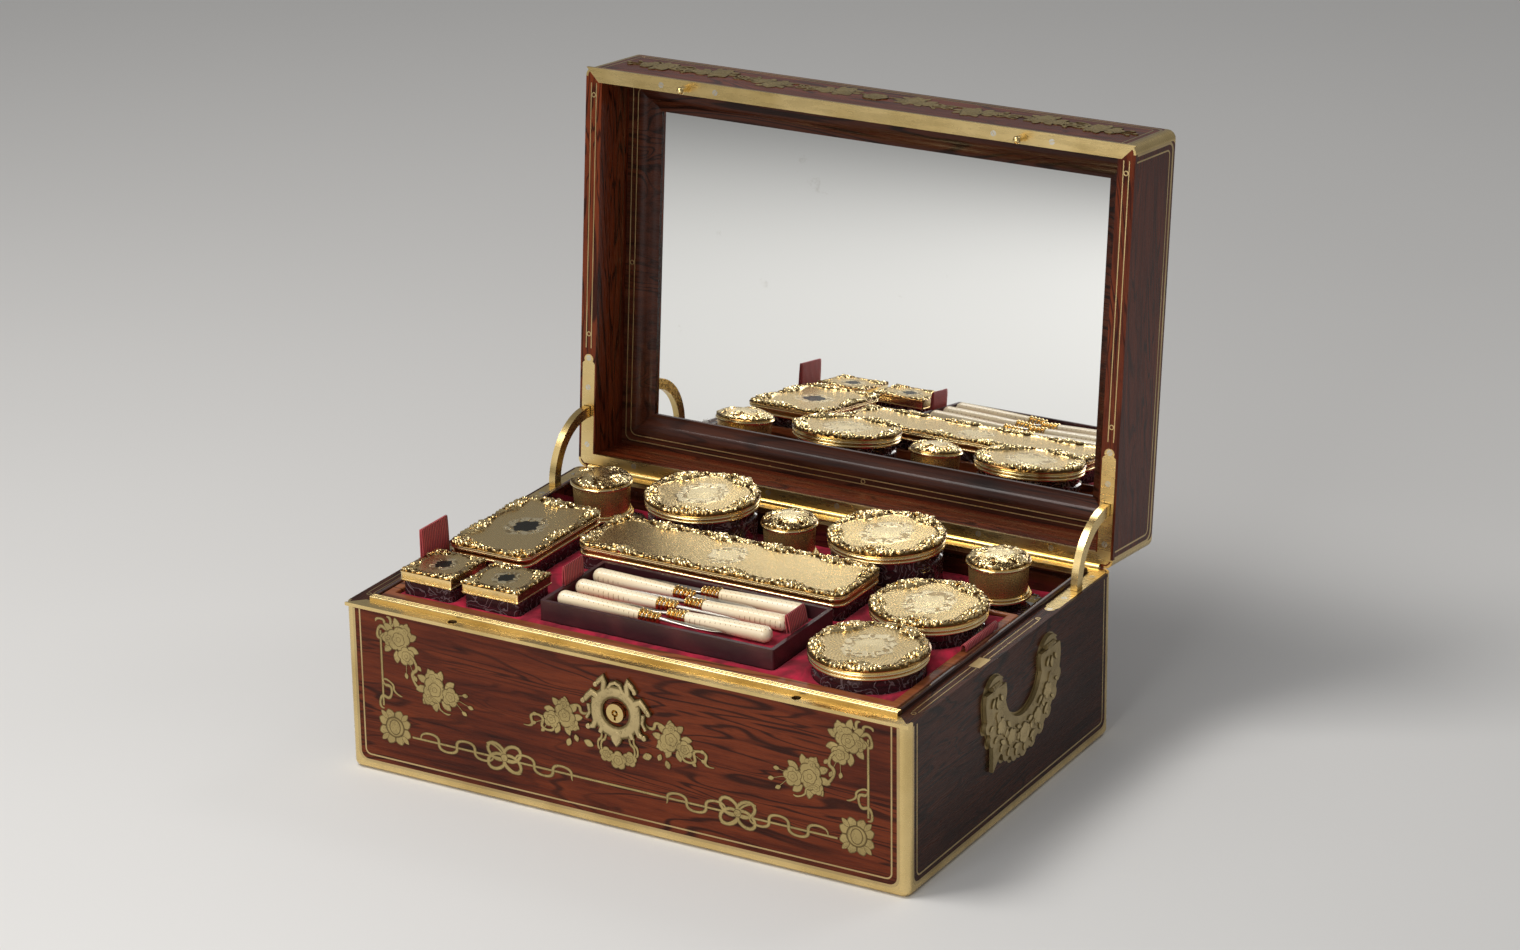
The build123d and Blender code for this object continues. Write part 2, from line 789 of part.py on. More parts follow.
with BuildPart() as hinge_lid_leaves:
    add(hinge_half(lid_floor, lid_floor, knuckle_centres[1::2]))

lid_leaf_recess = extrude(Plane.XY.offset(lid_floor) * leaf_outline(), amount=strip_thickness)

with BuildPart() as lid_sides:
    with BuildSketch(Plane.XY.offset(lid_floor)):
        with BuildLine():
            Polyline(
                (half_width, -half_depth),
                (half_width, half_depth),
                (inner_x, back_inner),
                (inner_x, lid_front_inner),
                close=True,
            )
        make_face()
    extrude(amount=lid_height)
    add(lid_block, mode=Mode.INTERSECT)
    add(block_between(-inner_x, inner_x, -half_depth, half_depth, 0, lid_top_z), mode=Mode.SUBTRACT)
    add(lid_edging.part, mode=Mode.SUBTRACT)
    add(lid_rim_strip.part, mode=Mode.SUBTRACT)
    add(lid_leaf_recess, mode=Mode.SUBTRACT)
    add(side_cutters(0), mode=Mode.SUBTRACT)
    mirror(about=Plane.YZ)

with BuildPart() as lid_back:
    with BuildSketch(Plane.XY.offset(lid_floor)):
        with BuildLine():
            Polyline(
                (-half_width, half_depth),
                (half_width, half_depth),
                (inner_x, back_inner),
                (-inner_x, back_inner),
                close=True,
            )
        make_face()
    extrude(amount=lid_height)
    add(lid_block, mode=Mode.INTERSECT)
    add(lid_edging.part, mode=Mode.SUBTRACT)
    add(lid_leaf_recess, mode=Mode.SUBTRACT)
    add(hinge_lid_leaves.part, mode=Mode.SUBTRACT)
    add(side_cutters(0), mode=Mode.SUBTRACT)

with BuildPart() as lid_front:
    with BuildSketch(Plane.XY.offset(lid_floor + strip_thickness)):
        with BuildLine():
            Polyline(
                (-half_width, -half_depth),
                (half_width, -half_depth),
                (inner_x, lid_front_inner),
                (-inner_x, lid_front_inner),
                close=True,
            )
        make_face()
    extrude(amount=lid_height - strip_thickness)
    add(lid_block, mode=Mode.INTERSECT)
    add(lid_edging.part, mode=Mode.SUBTRACT)

with BuildPart() as lid_top:
    add(block_between(-inner_x, inner_x, lid_front_inner, back_inner, lid_inside_top, lid_top_z))

# moulded mirror frame: one section swept round the opening with mitred corners
frame_z = lid_floor + frame_depth
frame_back_z = frame_z + frame_thickness
rebate = frame_width - glass_rebate
glass_z = frame_back_z - glass_thickness - 0.2

with BuildPart() as mirror_frame:
    with BuildLine() as frame_path:
        Polyline(
            (0, lid_front_inner, frame_z),
            (inner_x, lid_front_inner, frame_z),
            (inner_x, back_inner, frame_z),
            (-inner_x, back_inner, frame_z),
            (-inner_x, lid_front_inner, frame_z),
            close=True,
        )
    with BuildSketch(Plane(origin=(0, lid_front_inner, frame_z), x_dir=(0, 1, 0), z_dir=(1, 0, 0))):
        with BuildLine():
            Line((0, 0), (9.5, 0))
            RadiusArc((9.5, 0), (17, 3), -11)
            RadiusArc((17, 3), (frame_width, 5.6), 13)
            Line((frame_width, 5.6), (frame_width, glass_z - frame_z))
            Line((frame_width, glass_z - frame_z), (rebate, glass_z - frame_z))
            Line((rebate, glass_z - frame_z), (rebate, frame_thickness))
            Line((rebate, frame_thickness), (0, frame_thickness))
            Line((0, frame_thickness), (0, 0))
        make_face()
    sweep(path=frame_path.wire(), transition=Transition.RIGHT)

with BuildPart() as mirror_glass:
    glass_x = inner_x - rebate
    add(
        block_between(
            -glass_x, glass_x, lid_front_inner + rebate, back_inner - rebate, glass_z, frame_back_z - 0.2
        )
    )

with BuildPart() as mirror_back:
    add(
        block_between(-inner_x, inner_x, lid_front_inner, back_inner, frame_back_z, frame_back_z + 3)
    )
    with BuildSketch(Plane.XY.offset(frame_back_z + 3)):
        with BuildLine():
            Polyline(
                (-inner_x, lid_front_inner),
                (inner_x, lid_front_inner),
                (inner_x, back_inner),
                (-inner_x, back_inner),
                close=True,
            )
        make_face()
        offset(amount=-12, kind=Kind.INTERSECTION, mode=Mode.SUBTRACT)
    extrude(amount=lid_inside_top - frame_back_z - 3)

# ------------------------------------------------------------------ lift-out tray
with BuildPart() as tray_frame:
    add(block_between(-tray_x, tray_x, tray_front, tray_back, tray_bottom, tray_top))
    fillet(tray_frame.edges().filter_by(Axis.Z), 2)
    add(
        block_between(
            -tray_inner_x, tray_inner_x, tray_inner_front, tray_inner_back, vessel_floor, tray_top
        ),
        mode=Mode.SUBTRACT,
    )
    rail_tops = tray_frame.faces().sort_by(Axis.Z)[-1]
    fillet(rail_tops.edges(), 1.2)

# boxes standing on the tray: name, x range, y range of the lid, corner radius
side_box = (-tray_inner_x, -tray_inner_x + 66.5, tray_inner_front + 60, tray_inner_back + 2)
long_box = (-tray_inner_x + 78.5, tray_inner_x - 92.5, tray_inner_front + 100, tray_inner_back + 1)
patch_box_left = (-tray_inner_x, -tray_inner_x + 42.5, tray_inner_front + 4.5, tray_inner_front + 49)
patch_box_right = (-tray_inner_x + 49, -tray_inner_x + 95.5, tray_inner_front + 5, tray_inner_front + 48)
lid_overhang = 2.1

# round jars on the tray, in the right-hand corners
jar_x = tray_inner_x - jar_radius - 1.5
front_jar_y = tray_inner_front + jar_radius + jar_front_gap
rear_tray_jar_y = tray_inner_back - jar_radius - jar_back_gap

# tool tray between the small boxes and the jars
tools_x = -tray_inner_x + tool_tray_x
tools_y = tray_inner_front + tool_tray_y
tool_tray_width = jar_x - jar_lid_radius - tool_jar_gap - tools_x
tool_length = tool_tray_width - tool_end_room
tool_handle_length = tool_length * tool_handle_share
tools_z = deck_top - 2
tools_floor = tools_z + tool_tray_wall

with BuildPart() as tray_nest:
    add(
        block_between(
            -tray_inner_x, tray_inner_x, tray_inner_front, tray_inner_back, vessel_floor, deck_top
        )
    )
    for x_low, x_high, y_low, y_high in (side_box, long_box, patch_box_left, patch_box_right):
        cut = lid_overhang - well_gap
        add(
            block_between(
                x_low + cut, x_high - cut, y_low + cut, min(y_high, tray_inner_back + 1) - cut, 0, 200
            ),
            mode=Mode.SUBTRACT,
        )
    with Locations((jar_x, front_jar_y, 0), (jar_x, rear_tray_jar_y, 0)):
        Cylinder(jar_radius + well_gap, 400, mode=Mode.SUBTRACT)
    add(
        block_between(
            tools_x - 0.4,
            tools_x + tool_tray_width + 0.4,
            tools_y - 0.4,
            tools_y + tool_tray_depth + 0.4,
            tools_z,
            200,
        ),
        mode=Mode.SUBTRACT,
    )

with BuildPart() as tray_pulls:
    # ribbon loop standing on the left rail and one folded down on the right rail
    standing_y = tray_front + standing_pull_y
    lying_y = tray_front + lying_pull_y
    standing_top = tray_top + standing_pull_height
    add(
        block_between(
            -tray_x + 2,
            -tray_x + 5.4,
            standing_y,
            standing_y + standing_pull_width,
            tray_top,
            standing_top,
        )
    )
    fillet(tray_pulls.edges().filter_by(Axis.X).group_by(Axis.Z)[-1], 4)
    add(
        block_between(
            tray_x - 6,
            tray_x - 1,
            lying_y,
            lying_y + lying_pull_length,
            tray_top,
            tray_top + lying_pull_height,
        )
    )

# ------------------------------------------------------------------ tool tray and its tools
tools_mid = tools_x + tool_tray_width / 2
tools_back = tools_y + tool_tray_depth
tools_rim = tools_z + tool_tray_height

with BuildPart() as tool_tray:
    add(block_between(tools_x, tools_x + tool_tray_width, tools_y, tools_back, tools_z, tools_rim))
    fillet(tool_tray.edges().filter_by(Axis.Z), 1.5)
    add(
        block_between(
            tools_x + tool_tray_wall,
            tools_x + tool_tray_width - tool_tray_wall,
            tools_y + tool_tray_wall,
            tools_back - tool_tray_wall,
            tools_floor,
            tools_rim,
        ),
        mode=Mode.SUBTRACT,
    )

tool_axis_z = tools_floor + 8.6

with BuildPart() as tool_tray_pad:
    pad_x = tool_tray_wall + 0.2
    add(
        block_between(
            tools_x + pad_x,
            tools_x + tool_tray_width - pad_x,
            tools_y + pad_x,
            tools_back - pad_x,
            tools_floor,
            tool_axis_z - tool_handle_radius - 0.3,
        )
    )

with BuildPart() as tool_tray_pulls:
    add(block_between(tools_x, tools_x + 3, tools_y + 26, tools_y + 53, tools_rim, tools_rim + 15))
    add(
        block_between(
            tools_mid + tool_tray_width / 2 - 8,
            tools_mid + tool_tray_width / 2,
            tools_y + 27,
            tools_y + 53,
            tools_rim,
            tools_rim + 2.4,
        )
    )

# three tools point right and three point left, laid head to tail
left_rows = [tools_y + 15.5, tools_y + 38, tools_y + 60]
right_rows = [tools_y + 25.5, tools_y + 48, tools_y + 70]
left_ends = [tools_x + 5.5 for row in left_rows]
right_ends = [tools_x + tool_tray_width - 16 for row in right_rows]


def tool_plane(end_x, row, direction):
    """Plane through a tool's axis, x along the tool from its butt end."""
    return Plane(origin=(end_x, row, tool_axis_z), x_dir=(direction, 0, 0), z_dir=(0, -1, 0))


tool_places = [(end, row, 1) for end, row in zip(left_ends, left_rows)]
tool_places += [(end, row, -1) for end, row in zip(right_ends, right_rows)]

with BuildPart() as tool_handles:
    for end_x, row, direction in tool_places:
        length = tool_handle_length
        with BuildSketch(tool_plane(end_x, row, direction)):
            with BuildLine():
                Line((0, 0), (length, 0))
                Line((length, 0), (length, 4))
                ThreePointArc((length, 4), (length * 0.5, 5.1), (6, tool_handle_radius))
                ThreePointArc((6, tool_handle_radius), (2, 4.6), (0, 1.6))
                Line((0, 1.6), (0, 0))
            make_face()
        revolve(axis=Axis((end_x, row, tool_axis_z), (1, 0, 0)))

with BuildPart() as tool_blades:
    for end_x, row, direction in tool_places:
        start = tool_handle_length
        with BuildSketch(tool_plane(end_x, row, direction)):
            with BuildLine():
                Polyline(
                    (start, 0),
                    (start, 4.6),
                    (start + 3, 4.6),
                    (start + 5, 2.6),
                    (start + 10, 2.2),
                    (start + 12, 0),
                    close=True,
                )
            make_face()
        revolve(axis=Axis((end_x, row, tool_axis_z), (1, 0, 0)))
        blade_start = end_x + direction * (start + 9)
        blade_end = end_x + direction * tool_length
        add(
            block_between(
                min(blade_start, blade_end),
                max(blade_start, blade_end),
                row - 2.2,
                row + 2.2,
                tool_axis_z - 0.8,
                tool_axis_z + 0.8,
            )
        )

# ------------------------------------------------------------------ rear nest
jar_positions = [(half_width * 0.3475, rear_front + 41.9), (-half_width * 0.3475, rear_front + 46.6)]
bottle_positions = [
    (-tray_x + 37.6, rear_front + 49.6, bottle_width, cap_radius),
    (-2.0, rear_front + 42.1, small_bottle_width, small_cap_radius),
    (tray_x - 40, rear_front + 47.6, bottle_width, cap_radius),
]

with BuildPart() as rear_nest:
    add(block_between(-tray_x, tray_x, rear_front, rear_back, bottom_panel, rear_nest_top))
    for x, y in jar_positions:
        with BuildSketch(Plane.XY.offset(rear_jar_bottom)):
            with Locations((x, y)):
                Circle(rear_jar_radius + well_gap)
        extrude(amount=100, mode=Mode.SUBTRACT)
    for x, y, width, cap in bottle_positions:
        with BuildSketch(Plane.XY.offset(bottle_bottom)):
            with Locations((x, y)):
                Rectangle(width + 2 * well_gap, width + 2 * well_gap)
        extrude(amount=100, mode=Mode.SUBTRACT)


# ------------------------------------------------------------------ vessels
def round_jar(x, y, radius, z_low, z_high):
    """Glass cup with a foot ring and a neck that the lid sits on."""
    with BuildPart() as jar:
        with BuildSketch(Plane(origin=(x, y, 0), x_dir=(1, 0, 0), z_dir=(0, -1, 0))):
            with BuildLine():
                Line((0, z_low), (radius - 3, z_low))
                RadiusArc((radius - 3, z_low), (radius, z_low + 3), -3)
                Line((radius, z_low + 3), (radius, z_high - 6))
                Line((radius, z_high - 6), (radius - 1.5, z_high - 5))
                Line((radius - 1.5, z_high - 5), (radius - 1.5, z_high))
                Line((radius - 1.5, z_high), (radius - wall_glass, z_high))
                Line((radius - wall_glass, z_high), (radius - wall_glass, z_low + 5))
                Line((radius - wall_glass, z_low + 5), (0, z_low + 5))
                Line((0, z_low + 5), (0, z_low))
            make_face()
        revolve(axis=Axis((x, y, 0), (0, 0, 1)))
    return jar.part


def round_lid(x, y, radius, bore, z_low):
    """Gilt lid: beaded skirt, raised border and a slightly domed centre, with a short plug."""
    with BuildPart() as lid:
        with BuildSketch(Plane(origin=(x, y, 0), x_dir=(1, 0, 0), z_dir=(0, -1, 0))):
            with BuildLine():
                Line((0, z_low - 4), (bore - 0.4, z_low - 4))
                Line((bore - 0.4, z_low - 4), (bore - 0.4, z_low))
                Line((bore - 0.4, z_low), (radius - 2.6, z_low))
                RadiusArc((radius - 2.6, z_low), (radius - 1.2, z_low + 3), -2)
                RadiusArc((radius - 1.2, z_low + 3), (radius - 0.8, z_low + 6.2), -1.9)
                Spline(
                    (radius - 0.8, z_low + 6.2),
                    (radius - 5, z_low + 8.8),
                    (radius - 11, z_low + 8.6),
                    tangents=((0, 1), (-1, -0.3)),
                )
                Spline((radius - 11, z_low + 8.6), (0, z_low + 9), tangents=((-1, -0.1), (-1, 0)))
                Line((0, z_low + 9), (0, z_low - 4))
            make_face()
        revolve(axis=Axis((x, y, 0), (0, 0, 1)))
    return lid.part


def box_cup(lid_plan, corner, z_high, foot):
    """Rectangular cup standing in its well, a little inside the outline of its lid."""
    x_low, x_high, y_low, y_high = lid_plan
    inset = lid_overhang
    back = min(y_high, tray_inner_back + 1)
    centre = ((x_low + x_high) / 2, (y_low + back) / 2)
    wide = x_high - x_low - 2 * inset
    deep = back - y_low - 2 * inset
    with BuildPart() as cup:
        with BuildSketch(Plane.XY.offset(foot)):
            with Locations(centre):
                RectangleRounded(wide, deep, corner - inset + 1)
        extrude(amount=z_high - foot)
        with BuildSketch(Plane.XY.offset(foot + 5)):
            with Locations(centre):
                RectangleRounded(wide - 2 * wall_glass, deep - 2 * wall_glass, corner / 2)
        extrude(amount=z_high - foot, mode=Mode.SUBTRACT)
    return cup.part


def box_lid(lid_plan, corner, z_low, height, banded):
    """Rectangular gilt lid with two mouldings and a raised border, over a short plug."""
    x_low, x_high, y_low, y_high = lid_plan
    back = min(y_high, tray_inner_back + 1)
    wide = x_high - x_low
    deep = y_high - y_low
    middle = ((x_low + x_high) / 2, (y_low + y_high) / 2)
    plug_middle = (middle[0], (y_low + back) / 2)
    plug_inset = 2 * (lid_overhang + wall_glass + 0.4)
    with BuildPart() as lid:
        with BuildSketch(Plane.XY.offset(z_low)):
            with Locations(plug_middle):
                RectangleRounded(wide - plug_inset, back - y_low - plug_inset, corner / 2)
        extrude(amount=-4)
        with BuildSketch(Plane.XY.offset(z_low)):
            with Locations(middle):
                RectangleRounded(wide, deep, corner)
        extrude(amount=height)
        chamfer(lid.faces().sort_by(Axis.Z)[-1].edges(), 1.6)
        if banded:
            with BuildSketch(Plane.XY.offset(z_low + 2.4)):
                with Locations(middle):
                    RectangleRounded(wide, deep, corner)
                    RectangleRounded(wide - 2.4, deep - 2.4, corner - 1.2, mode=Mode.SUBTRACT)
            extrude(amount=2.4, mode=Mode.SUBTRACT)
        # sunk panel inside the raised border
        with BuildSketch(Plane.XY.offset(z_low + height)):
            with Locations(middle):
                RectangleRounded(wide - 18, deep - 18, corner / 2)
        extrude(amount=-0.8, mode=Mode.SUBTRACT)
    return lid.part


def bottle(x, y, width, z_low):
    """Square bottle with chamfered corners, a shoulder and a short round neck."""
    with BuildPart() as glass:
        with BuildSketch(Plane.XY.offset(z_low)) as plan:
            with Locations((x, y)):
                Rectangle(width, width)
            chamfer(plan.vertices(), 6)
        extrude(amount=bottle_shoulder - z_low)
        chamfer(glass.faces().sort_by(Axis.Z)[-1].edges(), 3)
        with BuildSketch(Plane.XY.offset(bottle_shoulder)):
            with Locations((x, y)):
                Circle(width * 0.3)
        extrude(amount=bottle_top - bottle_shoulder)
        with BuildSketch(Plane.XY.offset(z_low + 5)) as hollow:
            with Locations((x, y)):
                Rectangle(width - 9, width - 9)
            chamfer(hollow.vertices(), 4)
        extrude(amount=bottle_shoulder - z_low - 10, mode=Mode.SUBTRACT)
        with BuildSketch(Plane.XY.offset(z_low + 5)):
            with Locations((x, y)):
                Circle(9)
        extrude(amount=bottle_top - z_low, mode=Mode.SUBTRACT)
    return glass.part


def bottle_cap(x, y, radius):
    """Gilt cap: stepped foot rings, plain drum, rim bead and a domed top, with a stopper."""
    z = bottle_top
    with BuildPart() as cap:
        with BuildSketch(Plane(origin=(x, y, 0), x_dir=(1, 0, 0), z_dir=(0, -1, 0))):
            with BuildLine():
                Line((0, z - 8), (8.6, z - 8))
                Line((8.6, z - 8), (8.6, z))
                Line((8.6, z), (radius - 0.6, z))
                RadiusArc((radius - 0.6, z), (radius - 0.6, z + 2.6), -1.4)
                RadiusArc((radius - 0.6, z + 2.6), (radius - 2.2, z + 5), -1.6)
                Line((radius - 2.2, z + 5), (radius - 1.6, z + 23.5))
                Line((radius - 1.6, z + 23.5), (radius - 0.7, z + 24.4))
                RadiusArc((radius - 0.7, z + 24.4), (radius - 0.7, z + 27), -1.4)
                Spline(
                    (radius - 0.7, z + 27),
                    (radius - 5, z + 31.2),
                    (0, z + 33),
                    tangents=((0, 1), (-1, 0)),
                )
                Line((0, z + 33), (0, z - 8))
            make_face()
        revolve(axis=Axis((x, y, 0), (0, 0, 1)))
    return cap.part


jar_bore = jar_radius - wall_glass
vessels = {
    "jar_front_right": round_jar(jar_x, front_jar_y, jar_radius, vessel_floor, jar_top),
    "jar_mid_right": round_jar(jar_x, rear_tray_jar_y, jar_radius, vessel_floor, jar_top),
    "jar_front_right_lid": round_lid(jar_x, front_jar_y, jar_lid_radius, jar_bore, jar_top),
    "jar_mid_right_lid": round_lid(jar_x, rear_tray_jar_y, jar_lid_radius, jar_bore, jar_top),
    "box_side": box_cup(side_box, 10, jar_top - 0.5, vessel_floor),
    "box_side_lid": box_lid(side_box, 10, jar_top - 0.5, 10, True),
    "box_long": box_cup(long_box, 11, jar_top - 0.5, vessel_floor),
    "box_long_lid": box_lid(long_box, 11, jar_top - 0.5, 10, True),
    "patch_box_left": box_cup(patch_box_left, 3, jar_top + 0.5, vessel_floor),
    "patch_box_left_lid": box_lid(patch_box_left, 3, jar_top + 0.5, 7.5, False),
    "patch_box_right": box_cup(patch_box_right, 3, jar_top + 0.5, vessel_floor),
    "patch_box_right_lid": box_lid(patch_box_right, 3, jar_top + 0.5, 7.5, False),
}
for side, (x, y) in zip(("right", "left"), jar_positions):
    bore = rear_jar_radius - wall_glass
    vessels[f"rear_jar_{side}"] = round_jar(x, y, rear_jar_radius, rear_jar_bottom, rear_jar_top)
    vessels[f"rear_jar_{side}_lid"] = round_lid(x, y, rear_jar_lid_radius, bore, rear_jar_top)
for side, (x, y, width, cap) in zip(("left", "middle", "right"), bottle_positions):
    vessels[f"bottle_{side}"] = bottle(x, y, width, bottle_bottom)
    vessels[f"bottle_{side}_cap"] = bottle_cap(x, y, cap)

# ------------------------------------------------------------------ open the lid and write the parts
fixed = {
    "case_front": case_front,
    "case_back": case_back,
    "case_sides": case_sides,
    "case_bottom": case_bottom,
    "case_edging": case_edging,
    "case_rim_strip": case_rim_strip,
    "dust_liners": dust_liners,
    "rear_nest": rear_nest,
    "escutcheon": escutcheon,
    "lock_plate": lock_plate,
    "lock_cylinder": lock_cylinder,
    "lock_bolt": lock_bolt,
    "hinge_case_leaves": hinge_case_leaves,
    "hinge_pin": hinge_pin,
    "stay_arm_left": stay_arm_left,
    "stay_arm_right": stay_arm_right,
    "handle_plates": handle_plates,
    "handle_bail_left": handle_bail_left,
    "handle_bail_right": handle_bail_right,
    "tray_frame": tray_frame,
    "tray_nest": tray_nest,
    "tray_pulls": tray_pulls,
    "tool_tray": tool_tray,
    "tool_tray_pad": tool_tray_pad,
    "tool_tray_pulls": tool_tray_pulls,
    "tool_handles": tool_handles,
    "tool_blades": tool_blades,
}
lid_pieces = {
    "lid_front": lid_front,
    "lid_back": lid_back,
    "lid_sides": lid_sides,
    "lid_top": lid_top,
    "lid_edging": lid_edging,
    "lid_rim_strip": lid_rim_strip,
    "hinge_lid_leaves": hinge_lid_leaves,
    "mirror_frame": mirror_frame,
    "mirror_glass": mirror_glass,
    "mirror_back": mirror_back,
}

finished = {name: piece.part for name, piece in fixed.items()}
finished |= {name: piece.part.rotate(hinge_axis, lid_open) for name, piece in lid_pieces.items()}
finished |= vessels

for name, shape in finished.items():
    shape.label = name
    export_step(shape, f"parts/{name}.step")
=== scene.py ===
"""Dressing for an antique fitted dressing box.

Finishes, marquetry, gilt relief, velvet and ribbons are laid on the packed model. Pieces are drawn
in millimetres. Those of the lid are drawn on the shut lid and then turned open with it.
"""
import json
import logging
import math
from dataclasses import dataclass
from enum import Enum
from typing import Callable, Sequence

import bmesh
import bpy
import numpy as np
from mathutils import Matrix, Vector, noise


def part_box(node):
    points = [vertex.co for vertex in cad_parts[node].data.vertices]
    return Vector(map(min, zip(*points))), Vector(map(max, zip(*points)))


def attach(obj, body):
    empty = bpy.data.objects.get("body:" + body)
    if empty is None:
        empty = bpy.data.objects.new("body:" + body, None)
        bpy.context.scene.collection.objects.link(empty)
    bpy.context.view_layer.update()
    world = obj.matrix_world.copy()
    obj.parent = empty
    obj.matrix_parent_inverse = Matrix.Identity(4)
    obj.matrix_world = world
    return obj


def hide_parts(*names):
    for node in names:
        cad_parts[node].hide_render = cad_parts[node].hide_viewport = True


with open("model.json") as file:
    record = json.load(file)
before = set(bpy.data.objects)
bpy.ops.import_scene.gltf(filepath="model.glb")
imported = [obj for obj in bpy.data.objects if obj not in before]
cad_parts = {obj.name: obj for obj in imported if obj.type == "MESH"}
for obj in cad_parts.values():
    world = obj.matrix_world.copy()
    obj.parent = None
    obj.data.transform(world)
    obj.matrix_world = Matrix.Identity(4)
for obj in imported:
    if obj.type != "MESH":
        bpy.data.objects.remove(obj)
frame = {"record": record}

log = logging.getLogger("dressing_box")
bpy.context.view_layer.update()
MM = 0.001

Point = tuple[float, float]
Colour = tuple[float, float, float]
Well = tuple[float, float, float, float, float]


# ---------------------------------------------------------------- shader expressions
def _maths(operation: str, meaning: str) -> Callable[..., "Signal"]:
    """Return a method of Signal that adds a Math node.

    Args:
        operation: the node's operation.
        meaning: the method's docstring.

    Returns:
        The method, which takes the node's other terms.
    """

    def method(self: "Signal", *terms: "Signal | float") -> "Signal":
        """Add the node."""
        values = dict(enumerate((self, *terms)))
        made = self.shader.node("ShaderNodeMath", {"operation": operation}, values)
        return Signal(self.shader, made.outputs[0])

    method.__doc__ = meaning
    return method


class Signal:
    """A shader socket that Python operators can combine."""

    def __init__(self, shader: "Shader", socket: bpy.types.NodeSocket) -> None:
        """Wrap one output socket of a shader."""
        self.shader = shader
        self.socket = socket

    __add__ = __radd__ = _maths("ADD", "Add.")
    __sub__ = _maths("SUBTRACT", "Subtract.")
    __mul__ = __rmul__ = _maths("MULTIPLY", "Multiply.")
    __truediv__ = _maths("DIVIDE", "Divide.")
    sin = _maths("SINE", "Return the sine.")
    abs = _maths("ABSOLUTE", "Return the absolute value.")
    fract = _maths("FRACT", "Return the fractional part.")
    sqrt = _maths("SQRT", "Return the square root.")
    atan2 = _maths("ARCTAN2", "Return the angle of (other, self).")
    min = _maths("MINIMUM", "Return the smaller of two values.")
    scaled_sum = _maths("MULTIPLY_ADD", "Multiply by the first term and add the second.")

    def __rsub__(self, other: float) -> "Signal":
        """Subtract from a number."""
        return self.scaled_sum(-1.0, other)

    def ramp(
        self, low: float, high: float, to_low: float = 0.0, to_high: float = 1.0
    ) -> "Signal":
        """Map a range of values smoothly to another.

        Args:
            low: value that becomes to_low.
            high: value that becomes to_high.
            to_low: lower result.
            to_high: upper result.

        Returns:
            The mapped signal, held at both ends.
        """
        made = self.shader.node(
            "ShaderNodeMapRange",
            {"interpolation_type": "SMOOTHSTEP"},
            {"Value": self, "From Min": low, "From Max": high, "To Min": to_low, "To Max": to_high},
        )
        return Signal(self.shader, made.outputs["Result"])


